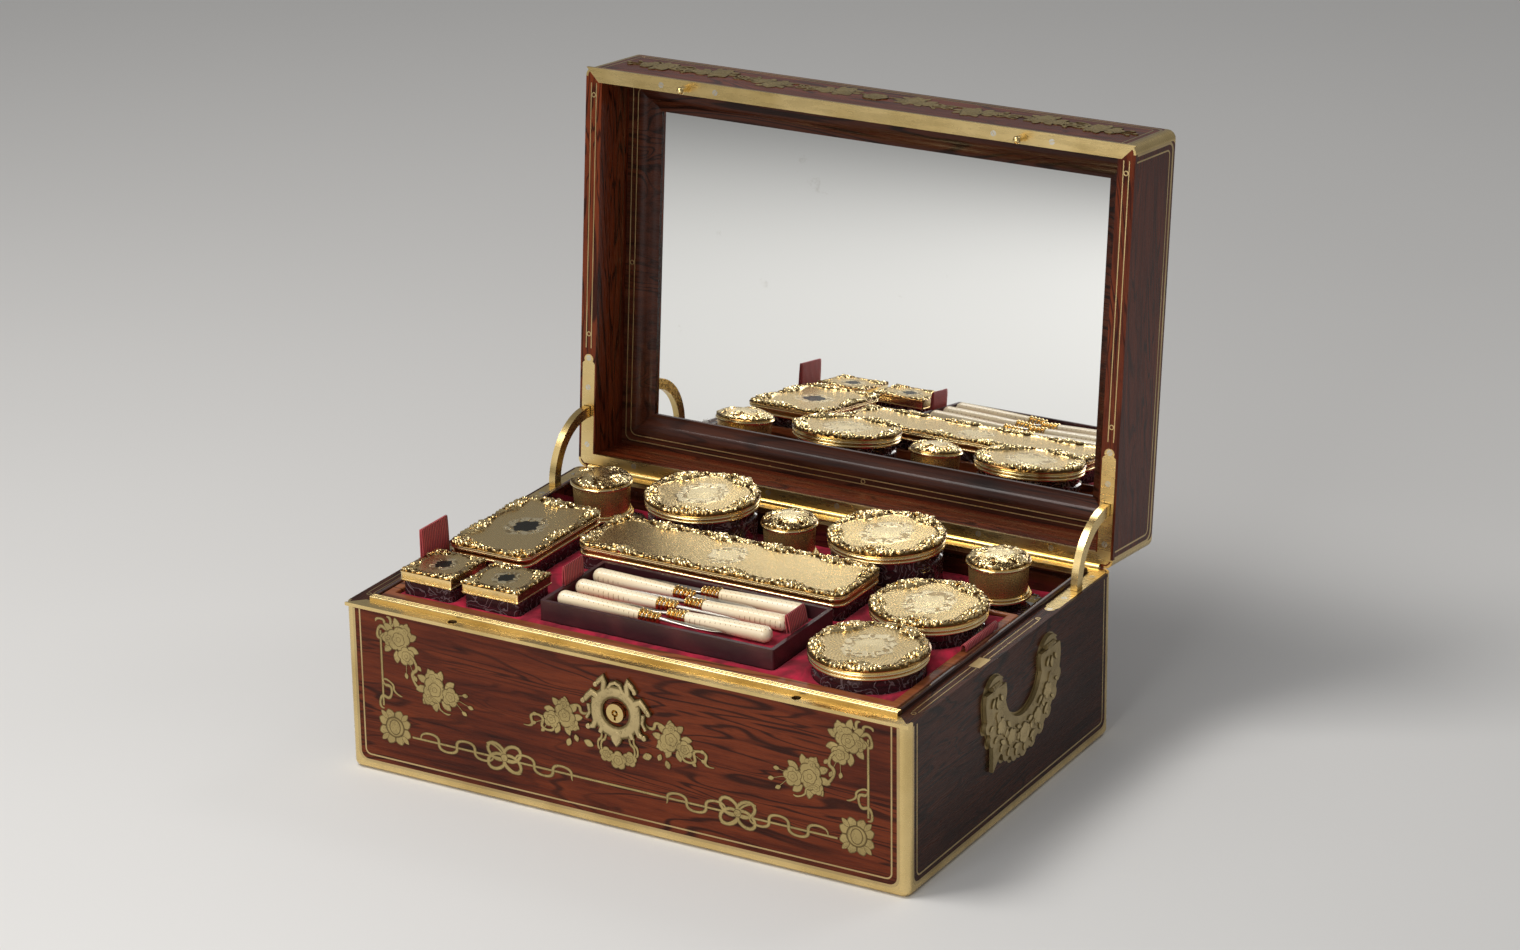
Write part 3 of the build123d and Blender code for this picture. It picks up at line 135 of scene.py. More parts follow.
class Shader:
    """A node material built round one Principled shader."""

    def __init__(self, name: str) -> None:
        """Start an empty material of that name."""
        self.material = bpy.data.materials.new(name)
        self.material.use_nodes = True
        self.tree = self.material.node_tree
        self.tree.nodes.clear()
        self.bsdf = self.node("ShaderNodeBsdfPrincipled")
        self.node("ShaderNodeOutputMaterial", None, {"Surface": self.bsdf.outputs[0]})

    def node(
        self,
        kind: str,
        settings: dict[str, object] | None = None,
        values: dict[int | str, object] | None = None,
    ) -> bpy.types.Node:
        """Add a node.

        Args:
            kind: the node's type.
            settings: properties set before the sockets.
            values: numbers, colours, sockets or signals by socket name or index.

        Returns:
            The new node.
        """
        made = self.tree.nodes.new(kind)
        for key, value in (settings or {}).items():
            setattr(made, key, value)
        for key, value in (values or {}).items():
            self.feed(made.inputs[key], value)
        return made

    def feed(self, socket: bpy.types.NodeSocket, value: object) -> None:
        """Link or set one input socket."""
        if isinstance(value, Signal):
            self.tree.links.new(value.socket, socket)
        elif isinstance(value, bpy.types.NodeSocket):
            self.tree.links.new(value, socket)
        else:
            if socket.type == "RGBA" and len(value) == 3:
                value = (*value, 1.0)
            socket.default_value = value

    def set(self, **values: object) -> None:
        """Set Principled sockets, with underscores for spaces in their names."""
        for key, value in values.items():
            self.feed(self.bsdf.inputs[key.replace("_", " ")], value)

    def coords(self, turn: Sequence[float] = (0, 0, 0)) -> Signal:
        """Return object coordinates, turned by angles in radians."""
        source = self.node("ShaderNodeTexCoord").outputs["Object"]
        return self.mapped(Signal(self, source), (1, 1, 1), turn)

    def mapped(
        self, vector: Signal, scale: Sequence[float], turn: Sequence[float] = (0, 0, 0)
    ) -> Signal:
        """Return a vector through a Mapping node."""
        values = {"Vector": vector, "Scale": scale, "Rotation": turn}
        return Signal(self, self.node("ShaderNodeMapping", None, values).outputs[0])

    def uv(self, name: str) -> Signal:
        """Return one of the mesh's own UV maps."""
        return Signal(self, self.node("ShaderNodeUVMap", {"uv_map": name}).outputs[0])

    def attribute(self, name: str) -> Signal:
        """Return one of the mesh's own values."""
        made = self.node("ShaderNodeAttribute", {"attribute_name": name})
        return Signal(self, made.outputs["Fac"])

    def split(self, vector: Signal) -> tuple[Signal, Signal, Signal]:
        """Return the three parts of a vector."""
        made = self.node("ShaderNodeSeparateXYZ", None, {0: vector})
        return tuple(Signal(self, socket) for socket in made.outputs)

    def noise(
        self, vector: Signal, scale: float, detail: float = 4.0, rough: float = 0.5,
        warp: float = 0.0,
    ) -> Signal:
        """Return fractal noise from 0 to 1.

        Args:
            vector: the place.
            scale: features for each unit of length.
            detail: octaves.
            rough: share of each next octave.
            warp: distortion of the place.

        Returns:
            The noise.
        """
        values = {
            "Vector": vector, "Scale": scale, "Detail": detail, "Roughness": rough,
            "Distortion": warp,
        }
        return Signal(self, self.node("ShaderNodeTexNoise", None, values).outputs["Fac"])

    def cells(self, vector: Signal, scale: float) -> Signal:
        """Return the distance to the nearest point of a cell pattern."""
        made = self.node("ShaderNodeTexVoronoi", None, {"Vector": vector, "Scale": scale})
        return Signal(self, made.outputs["Distance"])

    def mix(self, factor: Signal | float, first: object, second: object) -> Signal:
        """Mix two colours.

        Args:
            factor: 0 for the first colour, 1 for the second.
            first: colour or signal.
            second: colour or signal.

        Returns:
            The mixed colour.
        """
        made = self.node("ShaderNodeMix", {"data_type": "RGBA"})
        for index, value in ((0, factor), (6, first), (7, second)):
            self.feed(made.inputs[index], value)
        return Signal(self, made.outputs[2])

    def bands(self, factor: Signal, stops: Sequence[tuple[float, Colour]]) -> Signal:
        """Return a colour ramp through several stops."""
        made = self.node("ShaderNodeValToRGB")
        elements = made.color_ramp.elements
        while len(elements) < len(stops):
            elements.new(0.5)
        for element, (place, colour) in zip(elements, stops):
            element.position = place
            element.color = (*colour, 1.0)
        self.feed(made.inputs[0], factor)
        return Signal(self, made.outputs[0])

    def bump(self, height: Signal, distance: float, strength: float = 1.0) -> None:
        """Feed a height to the shader's normal."""
        made = self.node(
            "ShaderNodeBump", None, {"Height": height, "Distance": distance, "Strength": strength}
        )
        self.set(Normal=made.outputs[0])


# ---------------------------------------------------------------- finishes
class Grain(Enum):
    """Direction of the wood's grain."""

    ALONG_X = (0.0, 0.0, 0.0)
    ALONG_Y = (0.0, 0.0, math.pi / 2)
    UPRIGHT = (0.0, math.pi / 2, 0.0)


@dataclass(frozen=True)
class Wood:
    """Polished hardwood veneer with dark figure."""

    name: str
    dark: Colour
    middle: Colour
    light: Colour
    grain: Grain = Grain.ALONG_X
    figure: float = 1.0
    gloss: float = 0.22
    coat: float = 0.1

    def build(self) -> bpy.types.Material:
        """Return the wood as a material."""
        shader = Shader(self.name)
        place = shader.coords(turn=self.grain.value)
        slow = shader.noise(shader.mapped(place, (5, 15, 15)), 1.0, 3, 0.55, 0.5)
        streak = shader.noise(shader.mapped(place, (13, 250, 250)), 1.0, 4, 0.6, 0.25)
        swirl = shader.noise(shader.mapped(place, (5, 44, 44)), self.figure, 2.5, 0.5, 0.7)
        fibre = shader.noise(shader.mapped(place, (80, 1300, 1300)), 1.0, 2, 0.5)
        tone = streak * 0.55 + slow * 0.75 - 0.15
        base = shader.bands(
            tone, [(0.28, self.dark), (0.44, self.middle), (0.62, self.light), (0.85, self.middle)]
        )
        lines = sum((swirl - level).abs().ramp(0.018, 0.003) for level in (0.40, 0.47, 0.54, 0.62))
        broad = swirl.ramp(0.34, 0.29) * 0.5
        vein = (lines * slow.ramp(0.36, 0.56) + broad + streak.ramp(0.34, 0.27) * 0.4).min(1.0)
        base = shader.mix(vein * 0.8, base, tuple(0.3 * part for part in self.dark))
        base = shader.mix(fibre.ramp(0.56, 0.66) * 0.35, base, self.dark)
        shader.set(
            Base_Color=base,
            Roughness=fibre.ramp(0.3, 0.7, self.gloss, self.gloss + 0.12),
            Coat_Weight=self.coat,
            Coat_Roughness=0.06,
            Specular_IOR_Level=0.12,
            IOR=1.5,
        )
        shader.bump(fibre, 0.00003, 0.5)
        return shader.material


@dataclass(frozen=True)
class Metal:
    """Polished or brushed metal with faint scratches and toning."""

    name: str
    colour: Colour
    tone: Colour
    rough: float = 0.2
    brush: Sequence[float] = (60, 60, 60)

    def build(self) -> bpy.types.Material:
        """Return the metal as a material."""
        shader = Shader(self.name)
        place = shader.coords()
        cloud = shader.noise(place, 22, 4)
        scratch = shader.noise(shader.mapped(place, self.brush), 22, 3, 0.6)
        shader.set(
            Base_Color=shader.mix(cloud.ramp(0.35, 0.7), self.colour, self.tone),
            Metallic=1.0,
            Roughness=scratch.ramp(0.25, 0.75, self.rough * 0.9, self.rough * 1.15),
        )
        return shader.material


@dataclass(frozen=True)
class Engraved:
    """Flat inlaid brass with graver's lines and a dull patina."""

    name: str
    colour: Colour = (0.47, 0.355, 0.145)
    shade: Colour = (0.11, 0.07, 0.024)

    def build(self) -> bpy.types.Material:
        """Return engraved brass as a material."""
        shader = Shader(self.name)
        place = shader.coords()
        swirl = shader.noise(place, 260, 3, 0.6, 1.5)
        lines = (swirl * 38).sin()
        cut = lines.ramp(0.72, 0.98) * shader.noise(place, 120, 2).ramp(0.4, 0.6)
        cloud = shader.noise(place, 40, 3)
        base = shader.mix(cloud.ramp(0.3, 0.75) * 0.35, self.colour, self.shade)
        groove = shader.attribute("edge").ramp(0.0, 0.62)
        base = shader.mix(groove * 0.9, base, self.shade)
        shader.set(
            Base_Color=shader.mix(cut * 0.6, base, self.shade),
            Metallic=0.75,
            Roughness=cut.ramp(0, 1, 0.40, 0.6),
        )
        shader.bump(1 - cut, 0.0001, 0.8)
        return shader.material


@dataclass(frozen=True)
class Gilt:
    """Gilt metal with chased relief, an engine-turned middle and a plain cartouche.

    The mesh gives the height of the relief, the place on the lid's plan and, on a drum, the
    place round its side.
    """

    name: str
    colour: Colour = (0.92, 0.70, 0.34)
    # deep: dark gold that paints shade into the relief's hollows and between the chased leaves; it
    # also colours the engine-turned cuts
    deep: Colour = (0.17, 0.085, 0.02)
    # pale: painted highlight on the relief's tops and on the chased leaves
    pale: Colour = (1.0, 0.87, 0.58)
    cartouche: Colour = (0.96, 0.80, 0.48)
    spot: float = 0.0
    lattice: bool = False

    def build(self) -> bpy.types.Material:
        """Return chased gilt metal as a material."""
        shader = Shader(self.name)
        relief = shader.attribute("relief")
        panel = shader.attribute("panel")
        drum = shader.attribute("drum")
        px, py, _ = shader.split(shader.uv("plan"))
        wide = shader.attribute("oval")
        radius = ((px * px + py * py).sqrt()) * 100
        angle = py.atan2(px)
        if self.lattice:
            turning = ((px + py) * 1900).sin() * ((px - py) * 1900).sin()
        else:
            turning = (radius * 20.0 + (angle * 24).sin() * 0.9).sin() * (angle * 54).sin()
        oval = ((px * px) + (py * py) * 0.7).sqrt() / wide
        wavy = oval + (angle * 8).sin() * 0.02 + (angle * 4).sin() * 0.02
        plain = wavy.ramp(0.27, 0.24)
        edge = wavy.ramp(0.24, 0.27) * wavy.ramp(0.46, 0.40)
        sx, sy, _ = shader.split(shader.uv("wrap"))
        net = ((sx + sy) * 2600).sin() * ((sx - sy) * 2600).sin()
        cut = panel * (1 - plain) * (1 - edge) * turning.ramp(-0.4, 0.6)
        cut = cut + drum * net.ramp(-0.3, 0.5)
        fine = shader.noise(shader.coords(), 900, 3)
        leaves = (shader.noise(shader.coords(), 120, 1, 0.5, 1.2) * 16).sin().ramp(-0.2, 0.4)
        chase = edge * panel * leaves
        # Painted shade: the low parts of the relief are darkened towards the deep colour.
        base = shader.mix(relief.ramp(0.08, 0.6), self.deep, self.colour)
        # Painted highlight: the highest relief is lightened towards the pale colour.
        base = shader.mix(relief.ramp(0.6, 1.1) * 0.7, base, self.pale)
        base = shader.mix(panel, base, self.colour)
        base = shader.mix(drum, base, (0.78, 0.52, 0.20))
        base = shader.mix(panel * plain * 0.8, base, self.cartouche)
        base = shader.mix(panel * plain * self.spot, base, (0.03, 0.025, 0.012))
        base = shader.mix((panel + drum) * cut * 0.42, base, self.deep)
        # Painted highlight on the chased leaves round the panel.
        base = shader.mix(chase * 0.75, base, self.pale)
        # Painted shade on the ground between the chased leaves round the panel.
        base = shader.mix(panel * edge * (1 - leaves) * 0.55, base, self.deep)
        shader.set(
            Base_Color=base,
            Metallic=1 - drum * 0.2,
            Roughness=(fine.ramp(0.3, 0.7, 0.14, 0.26) + panel * 0.08 + drum * 0.1),
        )
        shader.bump(cut * 0.45 + fine * 0.06 + chase * 1.6, 0.00016, 0.7)
        return shader.material


@dataclass(frozen=True)
class Velvet:
    """Silk velvet with crushed pile."""

    name: str
    # deep and lit: shaded and lit copies of the velvet's colour, for its painted sheen
    deep: Colour = (0.17, 0.001, 0.012)
    lit: Colour = (0.55, 0.006, 0.045)

    def build(self) -> bpy.types.Material:
        """Return velvet as a material."""
        shader = Shader(self.name)
        place = shader.coords()
        crush_and_sheen = shader.noise(place, 38, 4, 0.55, 1.2)
        pile = shader.noise(place, 1400, 2)
        # Painted sheen: the crushed pile mixes the shaded and the lit colour.
        base = shader.mix(crush_and_sheen.ramp(0.35, 0.68), self.deep, self.lit)
        shader.set(
            Base_Color=shader.mix(pile.ramp(0.4, 0.75) * 0.3, base, self.deep),
            Roughness=0.85,
            Sheen_Weight=0.3,
            Sheen_Roughness=0.35,
            Sheen_Tint=(1.0, 0.16, 0.24, 1.0),
        )
        shader.bump(crush_and_sheen * 0.8 + pile * 0.25, 0.0006, 0.5)
        return shader.material


@dataclass(frozen=True)
class Grosgrain:
    """Ribbed silk ribbon."""

    name: str
    colour: Colour = (0.56, 0.07, 0.075)
    shade: Colour = (0.20, 0.012, 0.02)
    rib: float = 2.0

    def build(self) -> bpy.types.Material:
        """Return ribbon as a material; its UV map runs along and across the ribbon in metres."""
        shader = Shader(self.name)
        along, across, _ = shader.split(shader.uv("wrap"))
        ribs = (along * (2 * math.pi * 1000 / self.rib)).sin()
        thread = (across * 9000).sin()
        shader.set(
            # Painted shade: the troughs between the ribs take the darker shade colour.
            Base_Color=shader.mix(ribs.ramp(-0.7, 0.5), self.shade, self.colour),
            Roughness=0.55,
            Sheen_Weight=0.15,
            Sheen_Roughness=0.4,
        )
        shader.bump(ribs + thread * 0.2, 0.0002, 0.9)
        return shader.material


@dataclass(frozen=True)
class Leather:
    """Morocco leather with a fine pebbled grain."""

    name: str
    colour: Colour = (0.030, 0.005, 0.008)
    worn: Colour = (0.075, 0.014, 0.016)
    shine: float = 0.36

    def build(self) -> bpy.types.Material:
        """Return leather as a material."""
        shader = Shader(self.name)
        place = shader.coords()
        pebble = shader.cells(place, 1100)
        cloud = shader.noise(place, 35, 3)
        shader.set(
            Base_Color=shader.mix(cloud.ramp(0.35, 0.8), self.colour, self.worn),
            Roughness=pebble.ramp(0.2, 0.8, self.shine, self.shine + 0.15),
            Coat_Weight=0.25,
            Coat_Roughness=0.2,
        )
        shader.bump(pebble, 0.00012, 0.6)
        return shader.material


@dataclass(frozen=True)
class Crystal:
    """Cut glass with frosted scrolls."""

    name: str
    tint: Colour = (0.075, 0.025, 0.03)
    frost: Colour = (0.30, 0.20, 0.21)

    def build(self) -> bpy.types.Material:
        """Return glass as a material."""
        shader = Shader(self.name)
        place = shader.coords()
        swirl = shader.noise(place, 85, 1, 0.5, 1.6)
        scroll = (swirl * 30).sin().ramp(0.70, 0.92)
        shader.set(
            Base_Color=shader.mix(scroll, self.tint, self.frost),
            Roughness=scroll.ramp(0, 1, 0.03, 0.4),
            Transmission_Weight=0.55,
            IOR=1.5,
        )
        shader.bump(scroll, 0.0002, 0.6)
        return shader.material


@dataclass(frozen=True)
class Silvered:
    """Old mirror glass with faint foxing at the silvering."""

    name: str

    def build(self) -> bpy.types.Material:
        """Return mirror as a material."""
        shader = Shader(self.name)
        fox = shader.noise(shader.coords(), 30, 5, 0.7).ramp(0.66, 0.74)
        shader.set(
            Base_Color=shader.mix(fox * 0.25, (0.86, 0.87, 0.86), (0.5, 0.47, 0.4)),
            Metallic=1.0,
            Roughness=fox.ramp(0, 1, 0.01, 0.1),
        )
        return shader.material


@dataclass(frozen=True)
class Bone:
    """Aged carved bone with drilled dots in diamond rows."""

    name: str
    colour: Colour = (0.88, 0.72, 0.47)
    pale: Colour = (0.97, 0.86, 0.64)
    stain: Colour = (0.34, 0.20, 0.08)
    pitch: float = 3.9

    def build(self) -> bpy.types.Material:
        """Return bone as a material."""
        shader = Shader(self.name)
        place = shader.coords()
        grain = shader.noise(shader.mapped(place, (14, 160, 160)), 1.0, 3)
        x, y, _ = shader.split(shader.mapped(place, (1000 / self.pitch,) * 3))
        u = (x + y).fract() - 0.5
        v = (x - y).fract() - 0.5
        dot = (u * u + v * v).sqrt().ramp(0.15, 0.08)
        base = shader.mix(grain.ramp(0.3, 0.7), self.colour, self.pale)
        shader.set(
            Base_Color=shader.mix(dot * 0.75, base, self.stain),
            Roughness=0.32,
            Coat_Weight=0.2,
        )
        shader.bump(1 - dot, 0.00012, 0.5)
        return shader.material


# ---------------------------------------------------------------- places on the box
def node_box(node: str) -> tuple[Vector, Vector]:
    """Return a node's lowest and highest corners in millimetres."""
    low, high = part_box(node)
    return Vector(low) / MM, Vector(high) / MM


def middle(low: Vector, high: Vector) -> Point:
    """Return the middle of a box, seen from above."""
    return (low.x + high.x) / 2, (low.y + high.y) / 2


def polar(centre: Point, reach: float, degrees: float) -> Point:
    """Return the point at a distance and in a direction from a centre."""
    angle = math.radians(degrees)
    return centre[0] + reach * math.cos(angle), centre[1] + reach * math.sin(angle)


def verts_of(geom: Sequence[object]) -> list[bmesh.types.BMVert]:
    """Return the vertices among what a bmesh operator made."""
    return [item for item in geom if isinstance(item, bmesh.types.BMVert)]


@dataclass(frozen=True)
class Box:
    """Sizes that the dressing takes from the packed model, in millimetres."""

    half_width: float
    half_depth: float
    rim: float
    lid_floor: float
    lid_height: float
    open_angle: float

    @classmethod
    def read(cls, gap: float = 0.2, lid_height: float = 66.8) -> "Box":
        """Read the sizes from the nodes and from the lid's joint.

        Args:
            gap: clearance between the rims of the case and of the shut lid.
            lid_height: the lid's height, where its node reaches further.

        Returns:
            The sizes.
        """
        _, high = node_box("case_edging")
        joints = {joint["name"]: joint for joint in frame["record"]["behaviour"]["joints"]}
        angle = math.radians(-joints["lid_hinge"]["range_deg"][0])
        far = max(corner.y for corner in node_box("lid_top"))
        height = min((far - high.y) / math.sin(angle), lid_height)
        return cls(high.x, high.y, high.z, high.z + gap, height, angle)

    def lid_turn(self) -> Matrix:
        """Return the turn that takes a piece drawn on the shut lid to the open lid."""
        hinge = Vector((0, self.half_depth, self.rim)) * MM
        turn = Matrix.Rotation(self.open_angle, 4, Vector((-1, 0, 0)))
        return Matrix.Translation(hinge) @ turn @ Matrix.Translation(-hinge)


BOX = Box.read()


def face_frame(origin: Sequence[float], across: Sequence[float], up: Sequence[float]) -> Matrix:
    """Return the matrix of a flat face.

    Args:
        origin: the face's own origin, in millimetres.
        across: unit vector of the face's first direction.
        up: unit vector of its second direction.

    Returns:
        Matrix from face millimetres, with the third direction outwards, to metres.
    """
    u, v = Vector(across), Vector(up)
    w = u.cross(v)
    basis = Matrix((u, v, w)).transposed().to_4x4()
    return Matrix.Translation(Vector(origin) * MM) @ basis @ Matrix.Scale(MM, 4)


FLAT = Matrix.Scale(MM, 4)
FRONT = face_frame((0, -BOX.half_depth, 0), (1, 0, 0), (0, 0, 1))
BACK = face_frame((0, BOX.half_depth, 0), (-1, 0, 0), (0, 0, 1))
RIGHT = face_frame((BOX.half_width, 0, 0), (0, 1, 0), (0, 0, 1))
LEFT = face_frame((-BOX.half_width, 0, 0), (0, -1, 0), (0, 0, 1))
LID_RIM = face_frame((0, 0, BOX.lid_floor), (-1, 0, 0), (0, 1, 0))
LID_TOP = face_frame((0, 0, BOX.lid_floor + BOX.lid_height), (1, 0, 0), (0, 1, 0))


def finish_piece(
    bm: bmesh.types.BMesh,
    name: str,
    materials: Sequence[bpy.types.Material],
    body: str,
    matrix: Matrix = FLAT,
    sharp: float = 35.0,
) -> bpy.types.Object:
    """Turn a bmesh into a piece that rides on a body.

    Args:
        bm: the mesh, in its own millimetres; it is freed.
        name: the piece's name.
        materials: its materials, in slot order.
        body: the body that it rides on.
        matrix: from the mesh's millimetres to metres.
        slot: the record's material slot.
        sharp: edges over this angle in degrees stay sharp.

    Returns:
        The new object, at the origin.
    """
    bmesh.ops.transform(bm, matrix=matrix, verts=bm.verts)
    mesh = bpy.data.meshes.new(name)
    bm.to_mesh(mesh)
    bm.free()
    for material in materials:
        mesh.materials.append(material)
    mesh.polygons.foreach_set("use_smooth", [True] * len(mesh.polygons))
    mesh.set_sharp_from_angle(angle=math.radians(sharp))
    piece = bpy.data.objects.new(name, mesh)
    bpy.context.scene.collection.objects.link(piece)
    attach(piece, body)
    log.info("%s: %d faces on %s", name, len(mesh.polygons), body)
    return piece


# ---------------------------------------------------------------- flat inlay
class Inlay:
    """Thin brass let into a face: lines, ribbons, flowers and leaves drawn in millimetres."""

    SUNK: float = 0.1
    STEP: float = 0.0021

    def __init__(self, rise: float = 0.12, dome: float = 0.03) -> None:
        """Start an empty inlay.

        Args:
            rise: height above the wood.
            dome: how much higher the middle of each petal or ribbon is than its rim.
        """
        self.bm = bmesh.new()
        self.edge = self.bm.verts.layers.float.new("edge")
        self.rise = rise
        self.dome = dome
        self.layer = 0.0

    def _thicken(self, faces: list[bmesh.types.BMFace], rim: float = 0.0) -> None:
        """Give flat faces their thickness, each set a little higher than the last.

        Args:
            faces: the faces to raise.
            rim: width of the engraved rim of each face.
        """
        self.layer += self.STEP
        if rim:
            outer = {vert for face in faces for vert in face.verts}
            ring = bmesh.ops.inset_individual(self.bm, faces=faces, thickness=rim)["faces"]
            faces = list(faces) + list(ring)
            for vert in outer:
                vert[self.edge] = 1.0
        made = bmesh.ops.extrude_face_region(self.bm, geom=faces, use_keep_orig=True)
        verts = verts_of(made["geom"])
        height = self.rise + self.layer + self.SUNK
        bmesh.ops.translate(self.bm, verts=verts, vec=(0, 0, height))
        bmesh.ops.reverse_faces(self.bm, faces=faces)
        inner = [vert for vert in verts if vert[self.edge] < 0.5]
        bmesh.ops.translate(self.bm, verts=inner, vec=(0, 0, self.dome))

    def ribbon(
        self, path: Sequence[Point], widths: Sequence[float] | float, closed: bool = False
    ) -> None:
        """Draw a strip along a path.

        Args:
            path: points of the middle line.
            widths: one width, or one for each point.
            closed: whether the last point joins the first.
        """
        line = [Vector(point) for point in path]
        count = len(line)
        sizes = [widths] * count if isinstance(widths, (int, float)) else list(widths)
        rails = []
        for index, here in enumerate(line):
            before = line[index - 1] if index or closed else here
            after = line[(index + 1) % count] if index < count - 1 or closed else here
            first = (here - before).normalized() if (here - before).length else None
            second = (after - here).normalized() if (after - here).length else None
            first = first or second
            second = second or first
            tangent = (first + second).normalized()
            stretch = 1 / max(0.5, tangent.dot(first))
            normal = Vector((-tangent.y, tangent.x)) * sizes[index] / 2 * stretch
            row = [here + normal * reach for reach in (1.0, 0.5, -0.5, -1.0)]
            rails.append([self.bm.verts.new((side.x, side.y, -self.SUNK)) for side in row])
        for row in rails:
            row[0][self.edge] = row[3][self.edge] = 1.0
        pairs = list(zip(rails, rails[1:]))
        if closed:
            pairs.append((rails[-1], rails[0]))
        self._thicken([
            self.bm.faces.new((a[step + 1], b[step + 1], b[step], a[step]))
            for a, b in pairs for step in range(3)
        ])

    def blade(
        self, centre: Point, length: float, width: float, turn: float, rise: float = 0.0,
        point: float = 0.45,
    ) -> None:
        """Draw one petal or leaf from a circle.

        Args:
            centre: middle of the petal.
            length: whole length.
            width: whole width.
            turn: direction in degrees.
            rise: extra height.
            point: how pointed its ends are, from 0 for an oval.
        """
        verts = bmesh.ops.create_circle(self.bm, cap_ends=True, radius=1, segments=12)["verts"]
        for vert in verts:
            taper = 1 - point * abs(vert.co.x) ** 2
            vert.co.x *= length / 2
            vert.co.y *= width / 2 * taper
            vert.co.z = rise - self.SUNK
        turned = Matrix.Rotation(math.radians(turn), 3, "Z")
        bmesh.ops.rotate(self.bm, verts=verts, cent=(0, 0, 0), matrix=turned)
        bmesh.ops.translate(self.bm, verts=verts, vec=(*centre, 0))
        self._thicken(list(verts[0].link_faces), 0.12 * width)

    def disc(
        self, centre: Point, radius: float, rise: float = 0.05, squash: float = 1.0
    ) -> None:
        """Draw a round or oval boss.

        Args:
            centre: its middle.
            radius: its half width.
            rise: extra height.
            squash: its height for a width of 1.
        """
        verts = bmesh.ops.create_circle(
            self.bm, cap_ends=True, radius=radius, segments=20
        )["verts"]
        bmesh.ops.scale(self.bm, verts=verts, vec=(1, squash, 1))
        bmesh.ops.translate(self.bm, verts=verts, vec=(*centre, rise - self.SUNK))
        self._thicken(list(verts[0].link_faces), 0.22 * radius)

    def flower(self, centre: Point, radius: float, petals: int = 5, turn: float = 0.0) -> None:
        """Draw an open flower with two rows of petals and a raised heart.

        Args:
            centre: its middle.
            radius: its radius.
            petals: petals of each row.
            turn: direction of the first petal in degrees.
        """
        for reach, size, shift, lift in ((0.56, 1.0, 0.0, 0.0), (0.27, 0.62, 180 / petals, 0.04)):
            for index in range(petals):
                angle = turn + shift + 360 * index / petals
                spot = polar(centre, radius * reach, angle)
                self.blade(spot, radius * 0.92 * size, radius * size, angle, lift, 0.0)
        self.disc(centre, radius * 0.2, 0.1)

    def spray(self, centre: Point, radius: float, turn: float) -> None:
        """Draw a cluster of a large flower, three small ones, leaves and buds.

        Args:
            centre: middle of the large flower.
            radius: its radius.
            turn: direction of the buds in degrees.
        """
        leaves = (
            (158, 1.15), (198, 1.1), (118, 1.1), (-120, 1.1),
            (78, 1.15), (-78, 1.15), (36, 1.35), (-36, 1.35),
        )
        for side, reach in leaves:
            spot = polar(centre, radius * reach, turn + side)
            self.blade(spot, radius, radius * 0.62, turn + side + 10)
        for side, size in ((112, 0.62), (-112, 0.56)):
            spot = polar(centre, radius * 0.85, turn + side)
            self.flower(spot, radius * size, 5, turn + side)
        self.flower(centre, radius, 5, turn)
        small = polar(centre, radius * 1.3, turn)
        self.flower(small, radius * 0.74, 5, turn + 20)
        for bend, reach in ((14, 2.5), (-16, 2.7), (-2, 3.0)):
            tip = polar(centre, radius * reach, turn + bend)
            knee = ((small[0] + tip[0]) / 2, (small[1] + tip[1]) / 2 + 0.6)
            self.ribbon([small, knee, tip], 0.45)
            self.blade(tip, radius * 0.5, radius * 0.34, turn + bend)

    def wave(self, start: Point, end: Point, swing: float, turns: float, width: float) -> None:
        """Draw a ribbon that winds round the line between two points, and tapers at its ends.

        Args:
            start: first point.
            end: last point.
            swing: how far it swings to each side.
            turns: number of whole waves.
            width: greatest width.
        """
        first, last = Vector(start), Vector(end)
        along = last - first
        normal = Vector((-along.y, along.x)).normalized()
        steps = int(26 * turns) + 8
        path, widths = [], []
        for index in range(steps + 1):
            part = index / steps
            phase = 2 * math.pi * turns * part
            here = first + along * part + normal * swing * math.sin(phase)
            here -= along.normalized() * swing * 0.45 * math.sin(2 * phase)
            path.append((here.x, here.y))
            ends = min(1.0, 6 * part + 0.3, 6 * (1 - part) + 0.3)
            widths.append(width * ends * (0.72 + 0.28 * abs(math.cos(phase))))
        self.ribbon(path, widths)

    def bow(self, centre: Point, size: float) -> None:
        """Draw a bow of four loops round a knot."""
        for turn in (30, 150, 210, 330):
            path = []
            for index in range(17):
                part = index / 16 * 2 * math.pi
                out = polar(centre, size * 0.50 * (1 - math.cos(part)), turn)
                path.append(polar(out, size * 0.36 * math.sin(part), turn + 90))
            self.ribbon(path, size * 0.2)
        self.disc(centre, size * 0.2, 0.1)

    def ring(self, centre: Point, radius: float, width: float = 0.8) -> None:
        """Draw a small ring."""
        self.ribbon([polar(centre, radius, 20 * index) for index in range(18)], width, closed=True)

    def panel_line(
        self, half_x: float, low: float, high: float, radius: float, width: float, open_top: bool
    ) -> None:
        """Draw a line round a panel with rounded corners.

        Args:
            half_x: half of the panel's width.
            low: lower edge.
            high: upper edge.
            radius: corner radius.
            width: width of the line.
            open_top: whether the line runs out at the top, with no line along it.
        """
        corners = [(-half_x, low, 180), (half_x, low, 270)]
        if not open_top:
            corners += [(half_x, high, 0), (-half_x, high, 90)]
        path = []
        for x, y, start in corners:
            centre = (x - math.copysign(radius, x), y + radius if y == low else y - radius)
            path += [polar(centre, radius, start + 90 * step / 5) for step in range(6)]
        if open_top:
            path = [(-half_x, high), *path, (half_x, high)]
        self.ribbon(path, width, closed=not open_top)

